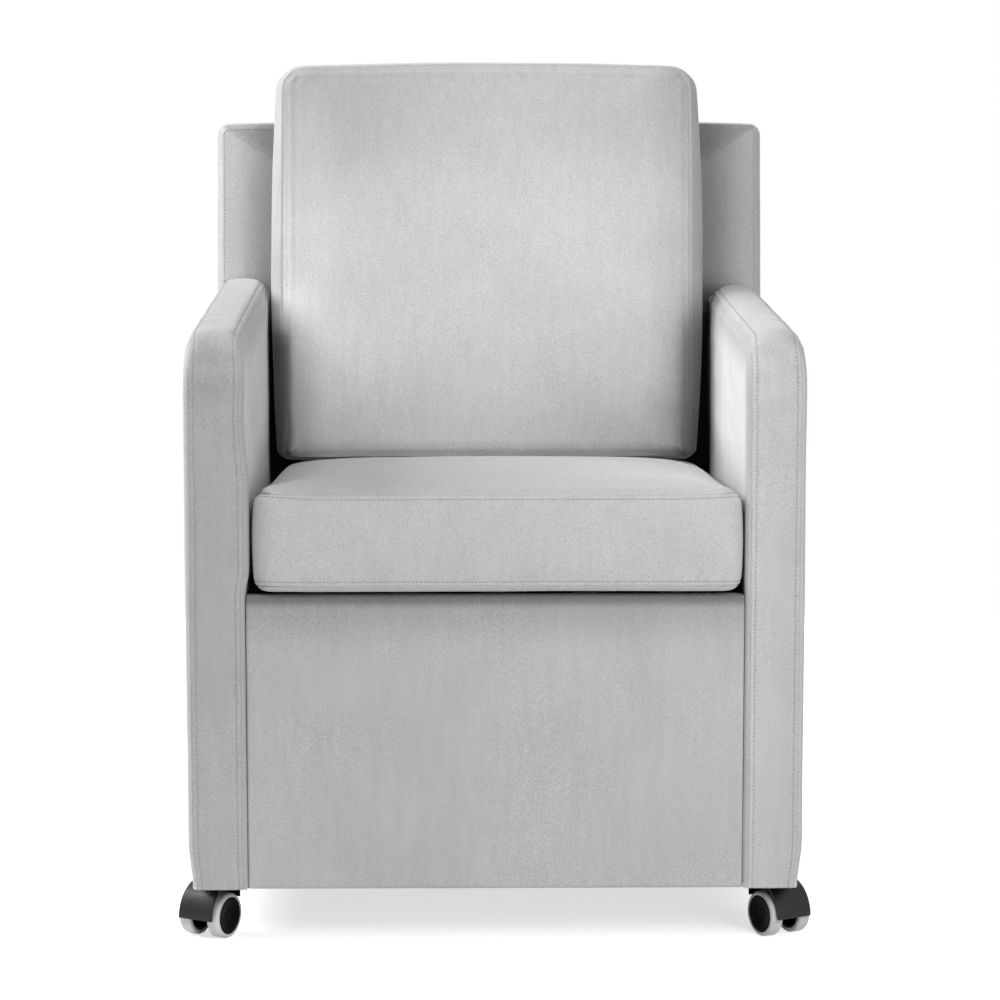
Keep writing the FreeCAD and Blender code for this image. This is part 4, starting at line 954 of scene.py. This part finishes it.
def cushion_nap_and_painted_light(sizes, shell):
    """Pile tone of the back cushion, with painted shade at its head, upper left, foot and lower sides, where
    it is shut in, and a painted pool of light on its left.
    """
    left = shell.u < 0
    # Painted shadow of the arms on the lower sides, starting lower down on the left.
    painted_shade_share = ease(-shell.v, np.where(left, 0.27, 0.12), np.where(left, 0.42, 0.40))
    strip_shade = SHADE["cushion_strip"] - SHADE["cushion_strip_side"] * shell.u
    strip_nap_and_painted_light = NAP_AND_PAINTED_LIGHT["cushion_strip"] * (1 - strip_shade * painted_shade_share)
    upper_left = ease(-shell.u, 0.0, 0.8) * ease(shell.v, 0.0, 0.6)
    lower_left = ease(-shell.v, 0.2, 0.9) * ease(-shell.u, -0.2, 0.8)
    margin_shade = SHADE["cushion_margin"] + SHADE["cushion_low_margin"] * ease(-shell.v, 0.1, 0.55)
    # A painted pool of light on the left, where light passes over the left arm.
    painted_light_patch = dent(shell.v + 0.25, 0.16) * (1 - ramp(shell.from_side, "cushion_painted_light")) * left
    front_nap_and_painted_light = NAP_AND_PAINTED_LIGHT["cushion"] * (1 - SHADE["cushion_head"] * ease(shell.v, 0.2, 0.95))
    front_nap_and_painted_light = front_nap_and_painted_light * (1 - SHADE["cushion_upper_left"] * upper_left)
    front_nap_and_painted_light = front_nap_and_painted_light * (1 - SHADE["cushion_lower_left"] * lower_left)
    front_nap_and_painted_light = front_nap_and_painted_light * (1 - margin_shade * np.sqrt(cushion_margin(sizes, shell)))
    front_nap_and_painted_light = front_nap_and_painted_light * (1 + SHADE["cushion_painted_light"] * painted_light_patch)
    left_seam = ramp(shell.from_side, "cushion_left_seam")
    right_seam = ramp(shell.from_side, "cushion_right_seam")
    by_seam = SHADE["cushion_seam"] * painted_shade_share * (1 - np.where(left, left_seam, right_seam))
    front_nap_and_painted_light = blend(front_nap_and_painted_light, strip_nap_and_painted_light, by_seam)
    front_nap_and_painted_light = front_nap_and_painted_light * (1 - SHADE["cushion_foot"] * (1 - ramp(shell.place[1], "cushion_foot")))
    return shell.by_panel(NAP_AND_PAINTED_LIGHT["cushion"], strip_nap_and_painted_light, front_nap_and_painted_light)


class ARMCHAIR_OT_back_cushion(bpy.types.Operator):
    """Makes the boxed back cushion that stands on the seat, barrelled by its filling"""

    bl_idname = "armchair.back_cushion"
    bl_label = "Back cushion"

    def execute(self, context):
        sizes = context.scene.armchair_sizes
        low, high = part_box("back_cushion_cover")
        inset = sizes.cushion_inset
        height = CUSHION_HEAD - CUSHION_FOOT - sizes.cushion_top_bulge
        block = (high.x - low.x - 2 * inset, height, sizes.cushion_loft)

        def cut(steps):
            radii = (sizes.cushion_low_corner, sizes.cushion_corner)
            corners = {(p, q): radii[q] for q in (1, 0) for p in (0, 1)}
            edges = (sizes.cushion_edge, sizes.cushion_edge)
            roll = (sizes.cushion_edge, sizes.cushion_roll)
            return Shell(block, sizes.grid, corners, edges, steps, side_edges={"low": roll})

        def shape(shell):
            crown = sizes.cushion_crown * (1 - shell.u**4) * (1 - np.abs(shell.v) ** 3) * shell.on_far
            swell = np.cos(shell.w * math.pi / 2) * ~shell.on_panel
            barrel = (sizes.cushion_bulge + sizes.right_bulge * (shell.u > 0)) * (1 - 0.45 * shell.v**2)
            across = low.x + inset + shell.p + shell.out[:, 0] * swell * barrel
            bow = sizes.cushion_bow * shell.u**2 * ease(shell.v, 0.2, 1.0)
            settled = sizes.cushion_settle * ease(-shell.v, 0.75, 1.0) * ease(shell.w, -0.2, 0.8)
            waves = unevenness(np.outer(shell.p, SIDEWAYS), 13 * MM, 37)
            ruffle = sizes.cushion_ruffle * waves * ease(-shell.v, 0.9, 1.0) * ease(shell.w, 0.0, 0.9)
            upwards = sizes.cushion_top_bulge * shell.upward * swell
            rise = CUSHION_FOOT + shell.q + upwards - bow - settled + ruffle
            low_down = 0.5 + 0.5 * ease(-shell.v, 0.0, 0.55)
            fall = sizes.cushion_fall * cushion_margin(sizes, shell) * low_down
            tuck = sizes.cushion_tuck * np.clip(1 - shell.place[1] / sizes.tuck_height, 0, 1) ** 2
            back = (fall + tuck) * ease(shell.w, 0.0, 1.0)
            return back_point(across, rise, back - BACK_GAP - shell.t - crown)

        def held(shell):
            return shell.at_seam() | shell.on_near | ~shell.on_panel

        shell, points = stuffed(cut, shape, held, sizes.cushion_swell)
        faces = outward(points, shell.faces)
        points = moved_out(points, faces, lumps(points, "cushion"))
        above_seat = shell.out[:, 1] > -0.5
        points = sewn(sizes, shell, points, faces, sizes.seam_depth * above_seat)
        nap_and_painted_light = cushion_nap_and_painted_light(sizes, shell)
        nodes = ("back_cushion_cover", "back_cushion_core")
        upholster("back_cushion", points, faces, nap_and_painted_light, nodes)
        return {"FINISHED"}


class ARMCHAIR_OT_front_panel(bpy.types.Operator):
    """Makes the covered panel between the arms, under the seat"""

    bl_idname = "armchair.front_panel"
    bl_label = "Front panel"

    def execute(self, context):
        sizes = context.scene.armchair_sizes
        low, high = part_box("front_panel_cover")
        block = (high.x - low.x, high.z - low.z, high.y - low.y)
        corners = {(p, q): sizes.panel_corner for p in (0, 1) for q in (0, 1)}
        shell = Shell(block, sizes.grid, corners, (sizes.panel_edge, sizes.panel_corner))
        points = np.stack([low.x + shell.p, low.y + shell.t, low.z + shell.q], axis=1)
        faces = outward(points, shell.faces)
        points = moved_out(points, faces, lumps(points, "panel") * shell.on_near)
        # Painted shadow of the seat's overhang: darker towards the panel's head, darkest in a thin line at
        # the top; the panel is also drawn paler to the right, as painted light.
        from_head = block[1] - shell.q
        shade = 1 - SHADE["panel_head"] * (1 - ramp(from_head, "panel_head"))
        shade = shade * (1 - SHADE["panel_edge"] * (1 - ramp(from_head, "panel_edge")))
        nap_and_painted_light = blend(NAP_AND_PAINTED_LIGHT["panel_left"], NAP_AND_PAINTED_LIGHT["panel_right"], ease(shell.u, -1, 1)) * shade
        upholster("front_panel", points, faces, nap_and_painted_light, ("front_panel_cover",))
        return {"FINISHED"}


def stitch_tree():
    """Node tree that lays thread stitches along lines."""
    tree = bpy.data.node_groups.new("stitches_along_lines", "GeometryNodeTree")
    face = tree.interface
    face.new_socket("Lines", in_out="INPUT", socket_type="NodeSocketGeometry")
    face.new_socket("Pitch", in_out="INPUT", socket_type="NodeSocketFloat")
    face.new_socket("Stitch length", in_out="INPUT", socket_type="NodeSocketFloat")
    face.new_socket("Thread", in_out="INPUT", socket_type="NodeSocketFloat")
    face.new_socket("Finish", in_out="INPUT", socket_type="NodeSocketMaterial")
    face.new_socket("Stitches", in_out="OUTPUT", socket_type="NodeSocketGeometry")
    given = add(tree, "NodeGroupInput").outputs
    curve = add(tree, "GeometryNodeMeshToCurve", {"Mesh": given["Lines"]}).outputs[0]
    spacing = {"Curve": curve, "Length": given["Pitch"]}
    places = add(tree, "GeometryNodeCurveToPoints", spacing, mode="LENGTH").outputs
    turn = add(tree, "FunctionNodeAlignRotationToVector", {"Vector": places["Tangent"]}, axis="Z")
    lengths = {"X": given["Thread"], "Y": given["Thread"], "Z": given["Stitch length"]}
    scale = add(tree, "ShaderNodeCombineXYZ", lengths)
    stitch = add(tree, "GeometryNodeMeshUVSphere", {"Segments": 6, "Rings": 5, "Radius": 0.5})
    laying = {
        "Points": places["Points"],
        "Instance": stitch.outputs["Mesh"],
        "Rotation": turn.outputs[0],
        "Scale": scale.outputs[0],
    }
    laid = add(tree, "GeometryNodeInstanceOnPoints", laying)
    solid = add(tree, "GeometryNodeRealizeInstances", {"Geometry": laid.outputs[0]})
    painting = {"Geometry": solid.outputs[0], "Material": given["Finish"]}
    painted = add(tree, "GeometryNodeSetMaterial", painting)
    add(tree, "NodeGroupOutput", {"Stitches": painted.outputs[0]})
    return tree


def set_input(modifier, name, value):
    """Sets a tree's named input through its identifier."""
    for item in modifier.node_group.interface.items_tree:
        if item.name == name and item.in_out == "INPUT":
            modifier[item.identifier] = value
            return
    raise ValueError(f"the tree has no input named {name}")


class ARMCHAIR_OT_stitching(bpy.types.Operator):
    """Lays the thread along every sewn line of the covers"""

    bl_idname = "armchair.stitching"
    bl_label = "Stitching"

    def execute(self, context):
        if not THREADS:
            raise RuntimeError("make the covers first: there is no line to sew")
        sizes = context.scene.armchair_sizes
        points = np.concatenate(THREADS)
        ends = np.cumsum([len(line) for line in THREADS])
        edges = [(i, i + 1) for i in range(len(points) - 1) if i + 1 not in ends]
        mesh = bpy.data.meshes.new("sewn_lines")
        mesh.from_pydata(points.tolist(), edges, [])
        piece = bpy.data.objects.new("stitches", mesh)
        context.scene.collection.objects.link(piece)
        modifier = piece.modifiers.new("Stitches", "NODES")
        modifier.node_group = stitch_tree()
        set_input(modifier, "Pitch", sizes.stitch_pitch)
        set_input(modifier, "Stitch length", sizes.stitch_length)
        set_input(modifier, "Thread", sizes.thread)
        set_input(modifier, "Finish", thread_material(context.scene.armchair_colours))
        graph = context.evaluated_depsgraph_get()
        stitched = bpy.data.meshes.new_from_object(piece.evaluated_get(graph), depsgraph=graph)
        piece.modifiers.remove(modifier)
        piece.data = stitched
        stitched.polygons.foreach_set("use_smooth", [True] * len(stitched.polygons))
        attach(piece, "chair")
        return {"FINISHED"}


class ARMCHAIR_OT_dust_cover(bpy.types.Operator):
    """Makes the spun cloth stretched under the chair, cut out round the castor plates"""

    bl_idname = "armchair.dust_cover"
    bl_label = "Dust cover"

    def execute(self, context):
        sizes = context.scene.armchair_sizes
        low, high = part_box("dust_cover")
        plate_low, plate_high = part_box("castor_plates")
        notch_x = plate_high.x - NOTCH
        notches = (
            (plate_low.y - NOTCH_GAP, plate_low.y + NOTCH),
            (plate_high.y - NOTCH, plate_high.y + NOTCH_GAP),
        )
        columns = np.append(np.linspace(low.x, high.x, DUST_COVER_STOPS), (-notch_x, notch_x))
        columns = np.sort(columns)
        rows = np.sort(np.append(np.linspace(low.y, high.y, DUST_COVER_STOPS), notches))
        x, y = np.meshgrid(columns, rows, indexing="ij")
        points = np.stack([x, y, np.full_like(x, low.z)], axis=-1).reshape(-1, 3)
        points[:, 2] -= sizes.dust_sag * np.abs(unevenness(points, 80 * MM, 41))
        index = np.arange(len(points)).reshape(x.shape)
        faces = []
        for i in range(len(columns) - 1):
            for j in range(len(rows) - 1):
                middle_x = abs(columns[i] + columns[i + 1]) / 2
                middle_y = (rows[j] + rows[j + 1]) / 2
                beside_plate = any(start < middle_y < end for start, end in notches)
                if not (middle_x > notch_x and beside_plate):
                    faces.append((index[i, j], index[i, j + 1], index[i + 1, j + 1], index[i + 1, j]))
        used = np.unique(faces)
        place = np.full(len(points), -1)
        place[used] = np.arange(len(used))
        piece = mesh_object("dust_cloth", points[used], place[np.array(faces)], dust_cloth())
        wall = piece.modifiers.new("Cloth thickness", "SOLIDIFY")
        wall.thickness = sizes.dust_cloth
        wall.offset = -1.0
        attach(piece, "chair")
        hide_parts("dust_cover")
        return {"FINISHED"}


def paint(nodes, material):
    """Gives CAD nodes a finish."""
    for name in nodes:
        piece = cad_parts[name]
        piece.data.materials.clear()
        piece.data.materials.append(material)


def nodes_ending(word):
    """Names of the CAD nodes that end with a word."""
    return [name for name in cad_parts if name.endswith(word)]


class ARMCHAIR_OT_castors(bpy.types.Operator):
    """Finishes the castors: moulded housings and hubs, soft treads, plated steel"""

    bl_idname = "armchair.castors"
    bl_label = "Castors"

    def execute(self, context):
        colours = context.scene.armchair_colours
        hood = moulded_material("moulded_polypropylene", colours.castor, 0.38, 0.3, 0.5 * MM)
        hub = moulded_material("moulded_black_nylon", colours.hub, 0.4, 0.03, 0.5 * MM)
        soft = moulded_material("moulded_polyurethane", colours.tread, 0.55, 0.3, 0.4 * MM)
        zinc = steel_material("zinc_plated_steel", colours.zinc, 0.35)
        paint(nodes_ending("_housing"), hood)
        paint(nodes_ending("_hub"), hub)
        paint(nodes_ending("_tread"), soft)
        paint(nodes_ending("_axle"), zinc)
        paint(["castor_plates", "castor_screws", "frame_bolts"], zinc)
        return {"FINISHED"}


class ARMCHAIR_OT_inner_frame(bpy.types.Operator):
    """Finishes the timber, boards, webbing and springs inside the chair"""

    bl_idname = "armchair.inner_frame"
    bl_label = "Inner frame"

    def execute(self, context):
        colours = context.scene.armchair_colours
        up, across, along = (1.0, 1.0, 0.08), (0.08, 1.0, 1.0), (1.0, 0.08, 1.0)
        upright = pine_material("sawn_pine_upright", colours.pine, up)
        crosswise = pine_material("sawn_pine_crosswise", colours.pine, across)
        lengthwise = pine_material("sawn_pine_lengthwise", colours.pine, along)
        painted_shade_crosswise = pine_material("pine_with_painted_shade_crosswise", colours.painted_shade_pine, across)
        painted_shade_lengthwise = pine_material("pine_with_painted_shade_lengthwise", colours.painted_shade_pine, along)
        hardboard = fibre_material("pressed_hardboard", colours.hardboard, 0.6 * MM, 0.7)
        webbing = fibre_material("elastic_webbing", colours.webbing, 1.5 * MM, 0.85)
        spring = steel_material("spring_steel", colours.spring, 0.4)
        paint(nodes_ending("_post") + ["back_uprights"], upright)
        paint(["back_top_rail", "back_middle_rail", "back_bottom_rail"], crosswise)
        paint(["left_arm_rail", "right_arm_rail"], lengthwise)
        # The rails and board seen through gaps are drawn near black, as painted shade.
        paint(["seat_front_rail", "seat_rear_rail", "front_panel_board"], painted_shade_crosswise)
        paint(["left_base_rail", "right_base_rail", "seat_side_rails"], painted_shade_lengthwise)
        paint(["left_side_boards", "right_side_boards"], hardboard)
        paint(["back_webbing"], webbing)
        paint(["seat_springs", "spring_clips"], spring)
        return {"FINISHED"}


# Even light from all round and the floor's own glow, as shares of white.
WHITE = (1.0, 1.0, 1.0, 1.0)
FILL = 0.03
FLOOR_GLOW = 0.68

# Half the floor's width, in metres.
FLOOR_REACH = 1.6

# Soft boxes: name, place, point aimed at, width and height in metres, power in watts.
LAMPS = (
    ("left_high_box", (-1.3, -1.6, 2.7), (0.1, 0.0, 0.5), (1.4, 1.4), 34.0),
    ("left_side_box", (-2.1, 0.4, 1.8), (0.25, 0.0, 0.5), (1.2, 1.2), 62.0),
    ("front_right_box", (1.2, -3.0, 2.4), (0.0, 0.0, 0.45), (1.4, 1.2), 40.0),
    ("right_near_box", (1.3, -2.0, 0.9), (0.2, -0.3, 0.45), (0.9, 1.2), 19.0),
    ("top_box", (0.0, -0.3, 2.9), (0.0, 0.0, 0.4), (2.0, 2.0), 8.0),
    ("rear_box", (0.8, 2.8, 1.8), (0.0, 0.2, 0.4), (1.8, 1.6), 28.0),
)

# Camera: focal length and sensor width in mm, place in metres, degrees downwards and to the right.
LENS = 131.36
SENSOR = 36.0
CAMERA_PLACE = (-0.0437, -3.913, 0.976)
CAMERA_DOWN = 8.21
CAMERA_RIGHT = 0.77


def seen_directly(tree):
    """1 for rays from the camera and for what shows in gloss or glass, otherwise 0."""
    path = add(tree, "ShaderNodeLightPath").outputs
    gloss = combine(tree, "MAXIMUM", path["Is Camera Ray"], path["Is Glossy Ray"])
    return combine(tree, "MAXIMUM", gloss, path["Is Transmission Ray"])


def floor_material(colours):
    """Matt studio floor that shows white and keeps a pale shadow."""
    material, tree = new_material("studio_floor")
    plain = add(tree, "ShaderNodeBsdfDiffuse", {"Color": rgba(colours.floor)})
    glow = add(tree, "ShaderNodeEmission", {"Color": WHITE, "Strength": FLOOR_GLOW})
    lit = add(tree, "ShaderNodeBsdfDiffuse", {"Color": (0.8, 0.8, 0.8, 1.0)})
    white = add(tree, "ShaderNodeAddShader", {0: glow.outputs[0], 1: lit.outputs[0]})
    mixing = {0: seen_directly(tree), 1: plain.outputs[0], 2: white.outputs[0]}
    shown = add(tree, "ShaderNodeMixShader", mixing)
    add(tree, "ShaderNodeOutputMaterial", {"Surface": shown.outputs[0]})
    return material


def light_world(scene):
    """Even dim light from all round, seen as white."""
    scene.world = bpy.data.worlds.new("studio")
    scene.world.use_nodes = True
    tree = scene.world.node_tree
    tree.nodes.clear()
    strength = add(tree, "ShaderNodeMapRange", {"Value": seen_directly(tree), 3: FILL, 4: 1.0})
    glow = add(tree, "ShaderNodeBackground", {"Color": WHITE, "Strength": strength.outputs[0]})
    add(tree, "ShaderNodeOutputWorld", {"Surface": glow.outputs[0]})


class ARMCHAIR_OT_stage(bpy.types.Operator):
    """Sets the floor, the soft studio light and the camera"""

    bl_idname = "armchair.stage"
    bl_label = "Stage"

    def execute(self, context):
        scene = context.scene
        corners = np.array([(-1, -1, 0), (1, -1, 0), (1, 1, 0), (-1, 1, 0)]) * FLOOR_REACH
        ground = floor_material(scene.armchair_colours)
        floor = mesh_object("floor", corners, np.array([(0, 1, 2, 3)]), ground)
        for name, place, aim, size, power in LAMPS:
            lamp = bpy.data.lights.new(name, "AREA")
            lamp.shape = "RECTANGLE"
            lamp.size, lamp.size_y = size
            lamp.energy = power
            box = bpy.data.objects.new(name, lamp)
            box.location = place
            box.rotation_euler = (Vector(aim) - Vector(place)).to_track_quat("-Z", "Y").to_euler()
            scene.collection.objects.link(box)
        light_world(scene)
        scene.view_settings.view_transform = "Standard"
        lens = bpy.data.cameras.new("camera")
        lens.sensor_width = SENSOR
        lens.lens = LENS
        camera = bpy.data.objects.new("camera", lens)
        camera.location = CAMERA_PLACE
        camera.rotation_euler = Euler((math.radians(90 - CAMERA_DOWN), 0.0, math.radians(-CAMERA_RIGHT)))
        scene.collection.objects.link(camera)
        scene.camera = camera
        return {"FINISHED"}


class ARMCHAIR_PT_panel(bpy.types.Panel):
    """Lists the armchair's pieces, sizes and colours"""

    bl_idname = "ARMCHAIR_PT_panel"
    bl_label = "Armchair"
    bl_space_type = "VIEW_3D"
    bl_region_type = "UI"
    bl_category = "Armchair"

    def draw(self, context):
        layout = self.layout
        for operator in OPERATORS:
            layout.operator(operator.bl_idname)
        for group in (context.scene.armchair_sizes, context.scene.armchair_colours):
            for name in group.__annotations__:
                layout.prop(group, name)


OPERATORS = (
    ARMCHAIR_OT_arms,
    ARMCHAIR_OT_back,
    ARMCHAIR_OT_seat_cushion,
    ARMCHAIR_OT_back_cushion,
    ARMCHAIR_OT_front_panel,
    ARMCHAIR_OT_stitching,
    ARMCHAIR_OT_dust_cover,
    ARMCHAIR_OT_castors,
    ARMCHAIR_OT_inner_frame,
    ARMCHAIR_OT_stage,
)
CLASSES = (ArmchairSizes, ArmchairColours, *OPERATORS, ARMCHAIR_PT_panel)


def register():
    """Adds the operators, the panel and the scene's sizes and colours."""
    for kind in CLASSES:
        bpy.utils.register_class(kind)
    bpy.types.Scene.armchair_sizes = PointerProperty(type=ArmchairSizes)
    bpy.types.Scene.armchair_colours = PointerProperty(type=ArmchairColours)


def unregister():
    """Takes them away again."""
    del bpy.types.Scene.armchair_colours
    del bpy.types.Scene.armchair_sizes
    for kind in reversed(CLASSES):
        bpy.utils.unregister_class(kind)


def main():
    """Builds the armchair piece by piece."""
    register()
    bpy.ops.armchair.arms()
    bpy.ops.armchair.back()
    bpy.ops.armchair.seat_cushion()
    bpy.ops.armchair.back_cushion()
    bpy.ops.armchair.front_panel()
    bpy.ops.armchair.stitching()
    bpy.ops.armchair.dust_cover()
    bpy.ops.armchair.castors()
    bpy.ops.armchair.inner_frame()
    bpy.ops.armchair.stage()


if __name__ == "__main__":
    main()
